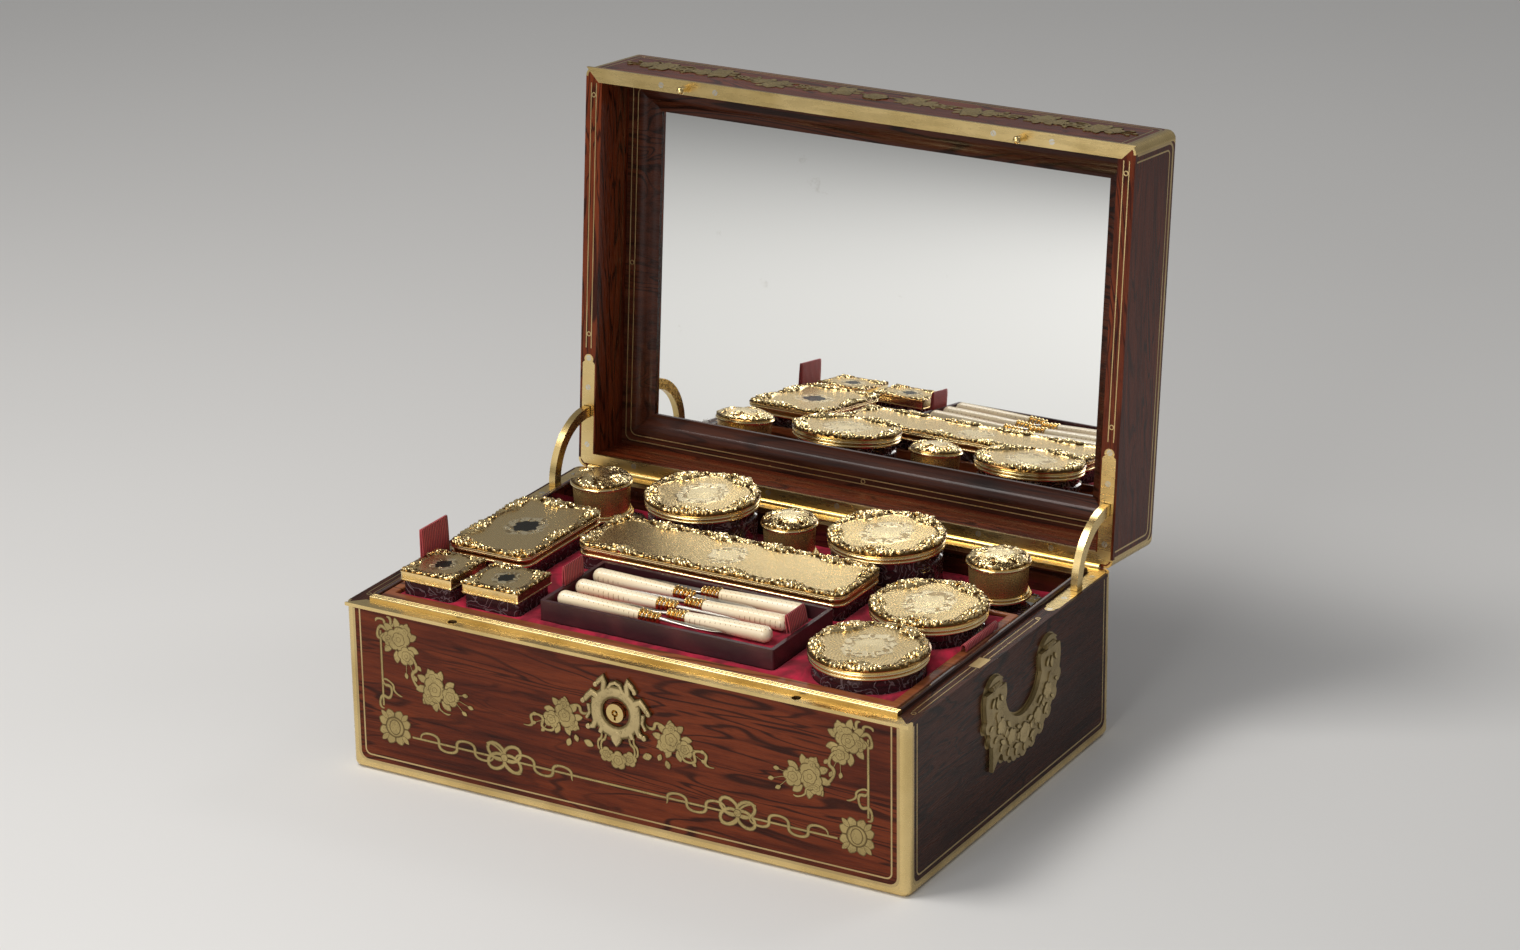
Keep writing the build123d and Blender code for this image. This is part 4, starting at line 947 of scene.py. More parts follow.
    def double(self) -> None:
        """Mirror what is drawn so far about the middle."""
        geom = list(self.bm.verts) + list(self.bm.edges) + list(self.bm.faces)
        twin = bmesh.ops.duplicate(self.bm, geom=geom)["geom"]
        faces = [item for item in twin if isinstance(item, bmesh.types.BMFace)]
        bmesh.ops.scale(self.bm, verts=verts_of(twin), vec=(-1, 1, 1))
        bmesh.ops.reverse_faces(self.bm, faces=faces)

    def finish(
        self, name: str, material: bpy.types.Material, body: str, matrix: Matrix,
        mirrored: bool = False,
    ) -> bpy.types.Object:
        """Write the inlay as a piece.

        Args:
            name: the piece's name.
            material: its brass.
            body: the body that it rides on.
            matrix: the face's matrix.
            mirrored: whether it is doubled about its middle.

        Returns:
            The piece.
        """
        if mirrored:
            self.double()
        bmesh.ops.recalc_face_normals(self.bm, faces=self.bm.faces)
        return finish_piece(self.bm, name, [material], body, matrix, 20)


# ---------------------------------------------------------------- chased relief
class Zone(Enum):
    """Part of a lid's surface."""

    SIDE = 0
    BORDER = 1
    PANEL = 2
    DRUM = 3
    BAND = 4


Section = list[tuple[float, float, Zone]]
Stamp = Callable[[np.ndarray, np.ndarray], np.ndarray]


def flower_stamp(radius: float, petals: int, turn: float) -> Stamp:
    """Return the height of an open flower."""

    def height(u: np.ndarray, v: np.ndarray) -> np.ndarray:
        """Return the height at each place."""
        reach = np.hypot(u, v) / radius
        angle = np.arctan2(v, u) + turn
        lobe = 0.58 + 0.42 * np.abs(np.cos(petals / 2 * angle)) ** 0.6
        cup = 0.45 + 0.55 * np.clip(reach / lobe, 0, 1) ** 1.5
        petal = np.clip((lobe - reach) / 0.18, 0, 1) * cup
        heart = np.clip(1 - (reach / 0.26) ** 2, 0, 1) ** 0.5 * 0.95
        return np.maximum(petal, heart)

    return height


def scroll_stamp(radius: float, start: float, sweep: float, width: float) -> Stamp:
    """Return the height of a C-scroll that ends in an eye."""

    def height(u: np.ndarray, v: np.ndarray) -> np.ndarray:
        """Return the height at each place."""
        angle = (np.arctan2(v, u) - start) % (2 * np.pi)
        part = angle / sweep
        curl = radius * (1 - 0.35 * part)
        away = (np.hypot(u, v) - curl) / (width * (1 - 0.45 * part))
        ridge = np.sqrt(np.clip(1 - away**2, 0, 1)) * (part < 1)
        eye_u, eye_v = 0.65 * radius * np.cos(start + sweep), 0.65 * radius * np.sin(start + sweep)
        eye = np.clip(1 - np.hypot(u - eye_u, v - eye_v) / (width * 0.9), 0, 1) ** 0.5
        return np.maximum(ridge * 0.9, eye)

    return height


def leaf_stamp(length: float, width: float, turn: float) -> Stamp:
    """Return the height of a notched leaf with a middle rib."""

    def height(u: np.ndarray, v: np.ndarray) -> np.ndarray:
        """Return the height at each place."""
        x = (u * np.cos(turn) + v * np.sin(turn)) / length
        y = (-u * np.sin(turn) + v * np.cos(turn)) / width
        edge = np.clip(1 - x**2, 0, 1) * (0.82 + 0.18 * np.cos(x * 15))
        body = np.clip((edge - np.abs(y)) / 0.35, 0, 1)
        rib = 0.25 * np.exp(-((y / 0.14) ** 2))
        return body * (0.55 + rib + 0.12 * np.cos(np.abs(y) * 9 - x * 12))

    return height


@dataclass
class Chasing:
    """Relief of a lid's border, drawn along its edge: flowers, scrolls, leaves and beads."""

    length: float
    depth: float
    pitch: float = 25.0
    seed: int = 1

    def height(self, along: np.ndarray, inset: np.ndarray) -> np.ndarray:
        """Return the relief's height from 0 to about 1.

        Args:
            along: place along the edge, in millimetres.
            inset: distance in from the edge.

        Returns:
            Height of the relief at each place.
        """
        rng = np.random.default_rng(self.seed)
        count = max(4, round(self.length / self.pitch))
        pitch = self.length / count
        total = np.zeros_like(along)
        unit = self.depth / 13.0
        for index in range(count):
            offset = (along - index * pitch - rng.normal(0, 0.5) + self.length / 2) % self.length
            u = offset - self.length / 2
            v = inset - self.depth * 0.5
            near = np.abs(u) < pitch
            if not near.any():
                continue
            radius = (6.3 + rng.normal(0, 0.6)) * unit
            parts: list[tuple[float, float, Stamp, float]] = [
                (0, -0.6 * unit, flower_stamp(radius, 5, rng.uniform(0, 6)), 1.0),
                (pitch * 0.27, -2.2 * unit, flower_stamp(4.0 * unit, 5, rng.uniform(0, 6)), 0.85),
                (-pitch * 0.29, 2.4 * unit, flower_stamp(3.4 * unit, 5, rng.uniform(0, 6)), 0.8),
                (pitch * 0.42, 0.8 * unit, scroll_stamp(4.4 * unit, 0.4, 4.4, 1.3 * unit), 0.95),
                (-pitch * 0.44, -1.4 * unit, scroll_stamp(3.8 * unit, 2.6, 4.2, 1.1 * unit), 0.9),
                (pitch * 0.2, 3.4 * unit, leaf_stamp(5.2 * unit, 1.8 * unit, 0.5), 0.7),
                (-pitch * 0.22, -4.2 * unit, leaf_stamp(4.8 * unit, 1.6 * unit, 0.3), 0.75),
                (0, 4.8 * unit, leaf_stamp(4.6 * unit, 1.5 * unit, -0.35), 0.6),
                (pitch * 0.36, 5.0 * unit, leaf_stamp(3.4 * unit, 1.3 * unit, -0.7), 0.55),
            ]
            for du, dv, stamp, gain in parts:
                total[near] = np.maximum(total[near], stamp(u[near] - du, v[near] - dv) * gain)
        swell = 0.82 + 0.30 * np.cos(self.swing(along))
        return total * self.fade(along, inset) * swell

    def swing(self, along: np.ndarray) -> np.ndarray:
        """Return the phase of the clusters along the edge."""
        clusters = max(4, round(self.length / self.pitch / 2))
        return 2 * np.pi * clusters * along / self.length

    def fade(self, along: np.ndarray, inset: np.ndarray) -> np.ndarray:
        """Return how much of the relief is left at each place, from 1 to 0."""
        reach = self.depth * (0.80 + 0.20 * np.cos(self.swing(along) + 0.4))
        return np.clip((reach - inset) / (self.depth * 0.15), 0, 1)


@dataclass(frozen=True)
class Plan:
    """Outline of a lid: a rectangle with round corners, or a circle."""

    half_x: float
    half_y: float
    corner: float
    step: float = 0.7

    def stations(self) -> tuple[np.ndarray, np.ndarray, np.ndarray]:
        """Return quadrant, angle and straight share of the points of one loop."""
        arcs = max(4, int(self.corner * math.pi / 2 / self.step))
        quads, angles, shares = [], [], []
        for quad in range(4):
            run = 2 * ((self.half_x if quad in (0, 2) else self.half_y) - self.corner)
            straights = max(1, int(run / self.step)) if run > 0.1 else 1
            for index in range(arcs):
                quads.append(quad)
                angles.append(math.pi / 2 * (quad + index / arcs))
                shares.append(0.0)
            for index in range(straights if run > 0.1 else 0):
                quads.append(quad)
                angles.append(math.pi / 2 * (quad + 1))
                shares.append(index / straights)
        return np.array(quads), np.array(angles), np.array(shares)

    def loop(self, inset: float) -> np.ndarray:
        """Return the points of the loop at an inset from the outline."""
        quads, angles, shares = self.stations()
        radius = max(self.corner - inset, 0.004)
        half_x = max(self.half_x - inset, radius)
        half_y = max(self.half_y - inset, radius)
        sign_x = np.array([1, -1, -1, 1])
        sign_y = np.array([1, 1, -1, -1])

        def on_arc(quad: np.ndarray, angle: np.ndarray) -> np.ndarray:
            """Return points on the arcs of the corners."""
            x = sign_x[quad % 4] * (half_x - radius) + radius * np.cos(angle)
            y = sign_y[quad % 4] * (half_y - radius) + radius * np.sin(angle)
            return np.stack([x, y], axis=1)

        first = on_arc(quads, angles)
        second = on_arc(quads + 1, angles)
        return first * (1 - shares[:, None]) + second * shares[:, None]


@dataclass
class ChasedLid:
    """A gilt lid or cap: plug, mouldings, chased border and engine-turned middle."""

    node: str
    plan: Plan
    centre: Point
    z: float
    profile: Section
    border: float
    relief: float = 2.3
    pitch: float = 25.0
    seed: int = 1
    wobble: float = 0.8

    def build(
        self, gilt: bpy.types.Material, band: bpy.types.Material, body: str
    ) -> bpy.types.Object:
        """Build the lid in place of its node.

        Args:
            gilt: the chased metal.
            band: finish of a coloured band between mouldings.
            body: the body it rides on.

        Returns:
            The lid.
        """
        loops = np.stack([self.plan.loop(inset) for inset, _, _ in self.profile])
        rows, count, _ = loops.shape
        outline = self.plan.loop(0.0)
        steps = np.linalg.norm(np.roll(outline, -1, axis=0) - outline, axis=1)
        along = np.concatenate([[0], np.cumsum(steps)])[:-1]
        length = float(steps.sum())
        inset = np.array([row[0] for row in self.profile])[:, None] * np.ones((1, count))
        zone = np.array([row[2].value for row in self.profile])[:, None] * np.ones((1, count))
        height = np.array([row[1] for row in self.profile])[:, None] * np.ones((1, count))
        chased = zone == Zone.BORDER.value
        start = min(row[0] for row in self.profile if row[2] is Zone.BORDER)
        chasing = Chasing(length, self.border, self.pitch, self.seed)
        grid_along = np.broadcast_to(along, (rows, count))
        relief = np.where(chased, chasing.height(grid_along, inset - start), 0.0)
        left = chasing.fade(grid_along, inset - start)
        bare = np.where(chased, 1 - left, zone == Zone.PANEL.value)
        height = height + relief * self.relief
        outward = np.clip(1 - (inset - start) / 3.0, 0, 1) * relief * self.wobble * chased
        centre_away = loops / np.maximum(np.linalg.norm(loops, axis=2, keepdims=True), 0.01)
        loops = loops + centre_away * outward[:, :, None]
        bm = bmesh.new()
        bmesh.ops.create_grid(bm, x_segments=count, y_segments=rows - 1, size=1)
        mesh = bpy.data.meshes.new(self.node)
        bm.to_mesh(mesh)
        bm.free()
        flat = np.empty(len(mesh.vertices) * 3)
        mesh.vertices.foreach_get("co", flat)
        flat = flat.reshape(-1, 3)
        column = np.rint((flat[:, 0] + 1) / 2 * count).astype(int)
        row = np.rint((flat[:, 1] + 1) / 2 * (rows - 1)).astype(int)
        wrapped = column % count
        x = loops[row, wrapped, 0]
        y = loops[row, wrapped, 1]
        z = height[row, wrapped]
        place = np.stack([x + self.centre[0], y + self.centre[1], z + self.z], axis=1)
        mesh.vertices.foreach_set("co", place.ravel())
        values = {
            # The relief value also sets the gilt's painted shade and painted highlight; plain rows
            # take 0.8.
            "relief": np.where(chased, relief, 0.8)[row, wrapped],
            "panel": bare[row, wrapped].astype(float),
            "drum": (zone == Zone.DRUM.value)[row, wrapped].astype(float),
            "oval": np.full(len(flat), min(self.plan.half_x, self.plan.half_y) * MM),
        }
        for key, data in values.items():
            mesh.attributes.new(key, "FLOAT", "POINT").data.foreach_set("value", data)
        corner = np.empty(len(mesh.loops), dtype=int)
        mesh.loops.foreach_get("vertex_index", corner)
        plan_uv = np.stack([x, y], axis=1)[corner] * MM
        travelled = np.concatenate([along, [length]])[column]
        wrap_uv = np.stack([travelled, z], axis=1)[corner] * MM
        for key, data in (("plan", plan_uv), ("wrap", wrap_uv)):
            mesh.uv_layers.new(name=key).data.foreach_set("uv", data.ravel())
        # Band rows take the second finish, the band's painted shade.
        tone = np.zeros(len(mesh.polygons), dtype=int)
        rows_of = row[corner].reshape(-1, 4).min(axis=1)
        band_rows = [index for index, entry in enumerate(self.profile) if entry[2] is Zone.BAND]
        tone[np.isin(rows_of, band_rows)] = 1
        mesh.polygons.foreach_set("material_index", tone)
        bm = bmesh.new()
        bm.from_mesh(mesh)
        bpy.data.meshes.remove(mesh)
        bmesh.ops.remove_doubles(bm, verts=bm.verts, dist=0.012)
        bmesh.ops.dissolve_degenerate(bm, edges=bm.edges, dist=0.001)
        bmesh.ops.recalc_face_normals(bm, faces=bm.faces)
        piece = finish_piece(bm, f"{self.node}_chased", [gilt, band], body, FLAT, 48)
        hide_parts(self.node)
        return piece


def spread(start: float, end: float, count: int) -> list[float]:
    """Return evenly spaced values without the first."""
    return [start + (end - start) * (index + 1) / count for index in range(count)]


def sides(*rows: tuple[float, float]) -> Section:
    """Return plain rows of a section from their insets and heights."""
    return [(inset, z, Zone.SIDE) for inset, z in rows]


def bead(inset: float, z: float, radius: float) -> Section:
    """Return the section of a half-round moulding on an upright side."""
    rows = []
    for step in range(7):
        angle = -math.pi / 2 + math.pi * step / 6
        rows.append((inset - radius * math.cos(angle), z + radius * (1 + math.sin(angle))))
    return sides(*rows)


def border(
    base: float, rise: float, run: float, depth: float, start: float = 0.5, step: float = 0.42,
    origin: float = 0.0,
) -> Section:
    """Return the rows of a chased border that swells up from its edge.

    Args:
        base: height of its edge.
        rise: how much higher it gets.
        run: distance over which it rises.
        depth: the border's depth.
        start: inset of its first row.
        step: distance between its rows.
        origin: inset at which it starts to rise.

    Returns:
        The rows.
    """
    rows = []
    for index in range(int(depth / step) + 1):
        inset = start + step * index
        part = min(1, (inset - origin) / run)
        rows.append((inset, base + rise * math.sin(math.pi / 2 * part), Zone.BORDER))
    return rows


@dataclass
class Vessels:
    """Chased lids and caps of the jars, boxes and bottles, and their cut glass.

    Jars and bottles have a seed; boxes have a corner radius, a mark for a crimson band and a seed.
    """

    gilt: Gilt
    # Finish of the band between a lid's mouldings: dark gilt as painted shade.
    band_shade: Metal
    glass: Crystal
    jars: Sequence[tuple[str, int]] = (
        ("jar_front_right", 3), ("jar_mid_right", 5), ("rear_jar_right", 7), ("rear_jar_left", 9),
    )
    boxes: Sequence[tuple[str, float, bool, int]] = (
        ("box_side", 10, True, 11), ("box_long", 11, True, 13), ("patch_box_left", 2, False, 15),
        ("patch_box_right", 2, False, 17),
    )
    bottles: Sequence[tuple[str, int]] = (
        ("bottle_left", 21), ("bottle_middle", 23), ("bottle_right", 25),
    )
    round_border: float = 12.5
    banded_border: float = 11.0
    plain_border: float = 9.0
    cap_border: float = 0.62

    def round_profile(self, radius: float, wall: float) -> Section:
        """Return the section of a jar's lid, from the plug up to the middle."""
        rows = sides((radius, -4.0), (wall + 0.9, -4.0), (wall + 0.9, 0.0), (3.0, 0.05))
        rows += bead(2.4, 0.15, 1.3) + sides((2.9, 2.9)) + bead(1.9, 3.0, 1.1)
        rows += sides((2.0, 5.4), (1.3, 6.2), (0.6, 6.8))
        rows += border(7.0, 1.4, 4, self.round_border)
        rows += [
            (inset, 8.2 + 0.8 * (inset / radius) ** 2, Zone.PANEL)
            for inset in spread(rows[-1][0] + 0.6, radius - 0.01, 14)
        ]
        return rows

    def box_profile(self, reach: float, wall: float, banded: bool) -> Section:
        """Return the section of a box's lid."""
        rows = sides((reach, -4.0), (wall + 3.0, -4.0), (wall + 3.0, 0.0))
        if banded:
            rows += sides((2.8, 0.05)) + bead(2.0, 0.15, 1.2)
            rows += [(2.5, 2.6, Zone.BAND), (2.5, 4.9, Zone.BAND), *sides((2.2, 4.95))]
            rows += bead(1.7, 5.0, 0.9) + bead(1.2, 6.85, 0.55)
            depth, top = self.banded_border, 8.1
        else:
            rows += sides((0.9, 0.05), (0.5, 0.3), (0.5, 0.9), (1.0, 1.2), (1.0, 6.0), (0.5, 6.2))
            depth, top = self.plain_border, 6.6
        rows += border(top, 0.9, 3.0, depth)
        last = rows[-1][0]
        rows += [(inset, top + 0.9, Zone.PANEL) for inset in spread(last + 0.6, reach - 0.01, 12)]
        return rows

    def cap_profile(self, radius: float) -> Section:
        """Return the section of a bottle's cap."""
        plug, reach = radius - 8.6, radius * self.cap_border
        rows = sides((radius, -8.0), (plug, -8.0), (plug, 0.0), (1.8, 0.05))
        rows += bead(1.2, 0.1, 1.15) + bead(2.1, 2.5, 0.8) + sides((2.9, 4.2), (2.9, 5.0))
        rows += [
            (2.9 - 0.9 * step / 12, 5.2 + 17.6 * step / 12, Zone.DRUM) for step in range(13)
        ]
        rows += sides((1.9, 23.1)) + bead(1.4, 23.3, 1.1) + sides((1.0, 26.0))
        rows += border(26.2, 4.2, reach, reach, 0.9, 0.4, 0.9)
        rows += [
            (inset, 30.4 + 0.4 * (inset / radius), Zone.PANEL)
            for inset in spread(rows[-1][0] + 0.8, radius - 0.01, 6)
        ]
        return rows

    def build(self) -> None:
        """Build every lid and cap and dress the glass."""
        gilt, band_shade = self.gilt.build(), self.band_shade.build()
        long_gilt = Gilt("gilt_chased_long", lattice=True).build()
        box_gilt = Gilt("gilt_chased_box", lattice=True, spot=1.0).build()
        for name, seed in self.jars:
            lid = f"{name}_lid"
            low, high = node_box(lid)
            centre = middle(low, high)
            radius = (high.x - low.x) / 2 + 0.2
            wall = radius - (node_box(name)[1].x - centre[0]) + 3.6
            ChasedLid(
                lid, Plan(radius, radius, radius), centre, low.z + 4,
                self.round_profile(radius, wall), self.round_border, 3.1, 24.0, seed,
                1.9 if name.startswith("rear") else 0.7,
            ).build(gilt, band_shade, lid)
        for name, corner, banded, seed in self.boxes:
            lid = f"{name}_lid"
            low, high = node_box(lid)
            half_x, half_y = (high.x - low.x) / 2 + 0.3, (high.y - low.y) / 2 + 0.3
            ChasedLid(
                lid, Plan(half_x, half_y, corner), middle(low, high), low.z + 4,
                self.box_profile(min(half_x, half_y), 3.6, banded),
                self.banded_border if banded else self.plain_border, 2.8 if banded else 1.6, 22.0,
                seed, 1.6 if banded else 0.4,
            ).build(long_gilt if name == "box_long" else box_gilt, band_shade, lid)
        for name, seed in self.bottles:
            cap = f"{name}_cap"
            low, high = node_box(cap)
            radius = (high.x - low.x) / 2 - 0.3
            ChasedLid(
                cap, Plan(radius, radius, radius, 0.6), middle(low, high), low.z + 8,
                self.cap_profile(radius), radius * self.cap_border, 1.3, 22.0, seed, 0.5,
            ).build(gilt, band_shade, cap)
        glass = self.glass.build()
        for name, *_ in (*self.jars, *self.boxes):
            dress(name, glass)
            dress(f"{name}_lid", gilt)
        for name, _ in self.bottles:
            dress(name, glass)
            dress(f"{name}_cap", gilt)


def dress(node: str, material: bpy.types.Material) -> None:
    """Give a node of the packed model its finish."""
    piece = bpy.data.objects[node]
    piece.data.materials.clear()
    piece.data.materials.append(material)
    log.info("%s: %s", node, material.name)


# ---------------------------------------------------------------- cloth
@dataclass
class Ribbons:
    """Pulls of silk ribbon on the tray and on the tool tray."""

    cloth: Grosgrain
    thickness: float = 0.5

    @staticmethod
    def arch(
        place: Point, base: float, span: float, rise: float, power: float, steps: int = 20,
        crest: float = 1.0, lean: float = 0.0, lean_power: float = 1.0,
    ) -> list[tuple[float, float, float]]:
        """Return the middle line of a folded loop of ribbon.

        Args:
            place: middle of the loop, seen from above.
            base: height of its two ends.
            span: half of the distance between its ends.
            rise: height of the loop over its ends.
            power: how round its shoulders are; lower is squarer.
            steps: runs of the line.
            crest: over 1, its top is cut flat.
            lean: how far its top leans to the side.
            lean_power: how the lean grows with height.

        Returns:
            The points, in millimetres.
        """
        points = []
        for step in range(steps + 1):
            angle = math.pi * (step / steps)
            swell = math.sin(angle)
            x = place[0] - span * math.cos(angle) + lean * swell**lean_power
            points.append((x, place[1], base + rise * min(1, crest * swell**power)))
        return points

    def loop(
        self, name: str, path: Sequence[Sequence[float]], width: float, body: str, rest: str,
        replaced: str,
    ) -> None:
        """Build one loop of ribbon.

        Args:
            name: the piece's name.
            path: points of its middle line.
            width: width of the ribbon.
            body: the body that it rides on.
            rest: node that it is fixed to.
            replaced: node that it stands for.
        """
        line = [Vector(point) for point in path]
        run = [0.0]
        for first, second in zip(line, line[1:]):
            run.append(run[-1] + (second - first).length)
        bm = bmesh.new()
        bmesh.ops.create_grid(bm, x_segments=10, y_segments=len(line) - 1, size=1)
        layer = bm.loops.layers.uv.new("wrap")
        for vert in bm.verts:
            row = round((vert.co.y + 1) / 2 * (len(line) - 1))
            across = vert.co.x / 2 * width
            vert.co = line[row] + Vector((0, across, 0))
            for corner in vert.link_loops:
                corner[layer].uv = (across * MM, run[row] * MM)
        bmesh.ops.recalc_face_normals(bm, faces=bm.faces)
        piece = finish_piece(bm, name, [self.material], body, FLAT, 60)
        shell = piece.modifiers.new("thickness", "SOLIDIFY")
        shell.thickness = self.thickness * MM
        shell.offset = 0
        shell.use_even_offset = True
        width * MM
        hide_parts(replaced)

    def build(self) -> None:
        """Build the four loops."""
        self.material = self.cloth.build()
        low, high = node_box("tray_pulls")
        rail = node_box("tray_frame")[1].z
        standing = self.arch(
            (low.x + 1.7, low.y + 17), rail + 0.6, 0.95, high.z - rail - 1.4, 0.62, steps=24,
            crest=1.12, lean=-0.7,
        )
        lying = self.arch((high.x - 2.6, high.y - 24), rail + 0.5, 2.0, 4.6, 0.7)
        for side, path, width in (("left", standing, 32), ("right", lying, 46)):
            self.loop(f"ribbon_tray_{side}", path, width, "tray", "tray_frame", "tray_pulls")
        low, high = node_box("tool_tray_pulls")
        rim = node_box("tool_tray")[1].z
        y = (low.y + high.y) / 2
        standing = self.arch((low.x + 1.5, y), rim + 0.5, 0.9, high.z - rim - 1.2, 0.6)
        leaning = self.arch(
            (high.x - 4.4, y), rim + 0.5, 1.2, 12.5, 0.6, lean=-2.0, lean_power=0.6
        )
        for side, path in (("left", standing), ("right", leaning)):
            self.loop(f"ribbon_tools_{side}", path, 24, "tools", "tool_tray", "tool_tray_pulls")


@dataclass
class VelvetLining:
    """Plum velvet of the tray's deck, the rear nest and the tool tray's pad.

    Its sizes are the room round a piece, the step that finds a well's outline, how far the velvet
    sinks towards its edges and how far it stays inside its node.
    """

    cloth: Velvet
    room: float = 0.35
    probe: float = 0.01
    puff: float = 2.4
    inset: float = 0.1

    def well(self, name: str, corner: float | None = None, room: float | None = None) -> Well:
        """Return the well that holds a piece.

        Args:
            name: node of the piece.
            corner: corner radius, or none where the well is round.
            room: clearance, if it isn't the usual one.

        Returns:
            Middle, half sizes and corner radius, in millimetres.
        """
        low, high = node_box(name)
        spare = self.room if room is None else room
        half_x, half_y = (high.x - low.x) / 2 + spare, (high.y - low.y) / 2 + spare
        if corner is None:
            return (*middle(low, high), half_x, half_x, half_x)
        return (*middle(low, high), half_x, half_y, corner)

    @staticmethod
    def away(x: np.ndarray, y: np.ndarray, well: Well) -> np.ndarray:
        """Return the distance of points outside a well's outline, negative inside."""
        cx, cy, half_x, half_y, corner = well
        dx = np.abs(x - cx) - half_x + corner
        dy = np.abs(y - cy) - half_y + corner
        outside = np.hypot(np.maximum(dx, 0), np.maximum(dy, 0))
        return outside + np.minimum(np.maximum(dx, dy), 0) - corner

    def reach(self, x: float, y: float, well: Well) -> float:
        """Return one point's distance outside a well's outline."""
        return float(self.away(np.array([x]), np.array([y]), well)[0])

    def snap(self, vert: bmesh.types.BMVert, wells: list[Well]) -> None:
        """Move a vertex on to the outline of the nearest well."""
        near = min(wells, key=lambda well: abs(self.reach(vert.co.x, vert.co.y, well)))
        for _ in range(3):
            here = self.reach(vert.co.x, vert.co.y, near)
            dx = self.reach(vert.co.x + self.probe, vert.co.y, near)
            dy = self.reach(vert.co.x, vert.co.y + self.probe, near)
            slope = Vector(((dx - here) / self.probe, (dy - here) / self.probe))
            if slope.length > 0.1:
                slope.normalize()
                vert.co.x -= slope.x * here
                vert.co.y -= slope.y * here

    @staticmethod
    def cloth_grid(bounds: tuple[float, ...], nx: int, ny: int) -> bmesh.types.BMesh:
        """Return a flat grid of nx by ny cells over low x, high x, low y and high y."""
        x_low, x_high, y_low, y_high = bounds
        bm = bmesh.new()
        bmesh.ops.create_grid(bm, x_segments=nx, y_segments=ny, size=1)
        for vert in bm.verts:
            vert.co.x = x_low + (vert.co.x + 1) / 2 * (x_high - x_low)
            vert.co.y = y_low + (vert.co.y + 1) / 2 * (y_high - y_low)
        return bm

    def close(
        self, bm: bmesh.types.BMesh, floor: float, name: str, body: str, fill: float,
        replaced: str,
    ) -> None:
        """Give a cloth its skirt and make it a padded piece.

        Args:
            bm: the cloth.
            floor: height of the skirt's foot.
            name: the piece's name.
            body: the body that it rides on.
            fill: how tight the pad is.
            replaced: node that it stands for.
        """
        rim = [edge for edge in bm.edges if edge.is_boundary]
        for vert in verts_of(bmesh.ops.extrude_edge_only(bm, edges=rim)["geom"]):
            vert.co.z = floor
        bmesh.ops.recalc_face_normals(bm, faces=bm.faces)
        top_face = max(bm.faces, key=lambda face: face.calc_center_median().z)
        if top_face.normal.z < 0:
            bmesh.ops.reverse_faces(bm, faces=bm.faces)
        piece = finish_piece(bm, name, [self.material], body, FLAT, 60)
        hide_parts(replaced)

    def pad(
        self, name: str, depth: float, cell: float, wells: list[Well], body: str, replaced: str,
        seed: float,
    ) -> None:
        """Build a padded board with wells cut through it.

        Args:
            name: the piece's name.
            depth: depth of the board's skirt below the top.
            cell: size of the grid.
            wells: outlines that are cut out.
            body: the body it rides on.
            replaced: node that it stands for.
            seed: offset of the cloth's own unevenness.
        """
        low, high = node_box(replaced)
        top = high.z
        x_low, x_high = low.x + self.inset, high.x - self.inset
        y_low, y_high = low.y + self.inset, high.y - self.inset
        nx, ny = round((x_high - x_low) / cell), round((y_high - y_low) / cell)
        bm = self.cloth_grid((x_low, x_high, y_low, y_high), nx, ny)
        x, y = (np.array([vert.co[axis] for vert in bm.verts]) for axis in (0, 1))
        gap = np.min([self.away(x, y, well) for well in wells], axis=0)
        for vert, inside in zip(bm.verts, gap):
            vert.co.z = inside
        gone = [face for face in bm.faces if all(vert.co.z < -cell * 0.1 for vert in face.verts)]
        bmesh.ops.delete(bm, geom=gone, context="FACES")
        for vert in bm.verts:
            if vert.co.z < cell * 0.72 and vert.is_boundary:
                self.snap(vert, wells)
        for vert in bm.verts:
            here_x, here_y = vert.co.x, vert.co.y
            side = min(here_x - x_low, x_high - here_x, here_y - y_low, y_high - here_y)
            near = max(0.0, min(side, *(self.reach(here_x, here_y, well) for well in wells)))
            crown = 1 - math.exp(-near / 2.6)
            uneven = noise.noise(Vector((here_x * 0.07, here_y * 0.07, seed)))
            fine = noise.noise(Vector((here_x * 0.24, here_y * 0.24, seed + 9)))
            ripple = (0.32 * uneven + 0.16 * fine) * crown
            vert.co.z = min(top - self.puff * (1 - 0.86 * crown - ripple), top)
        self.close(bm, top - depth, name, body, 0.4, replaced)

    def build(self) -> None:
        """Build the velvet of the deck, of the nest and of the tool tray."""
        self.material = self.cloth.build()
        boxes = ("box_side", "box_long", "patch_box_left", "patch_box_right")
        wells = [self.well(name, 3.0) for name in boxes]
        wells += [self.well(name) for name in ("jar_front_right", "jar_mid_right")]
        wells.append(self.well("tool_tray", 1.5, 0.3))
        self.pad("velvet_deck", 46, 1.5, wells, "tray", "tray_nest", 3.0)
        wells = [self.well(name) for name in ("rear_jar_right", "rear_jar_left")]
        wells += [self.well(name, 1.0) for name in ("bottle_left", "bottle_middle", "bottle_right")]
        self.pad("velvet_nest", 60, 1.8, wells, "case", "rear_nest", 5.0)
        self.tool_pad()

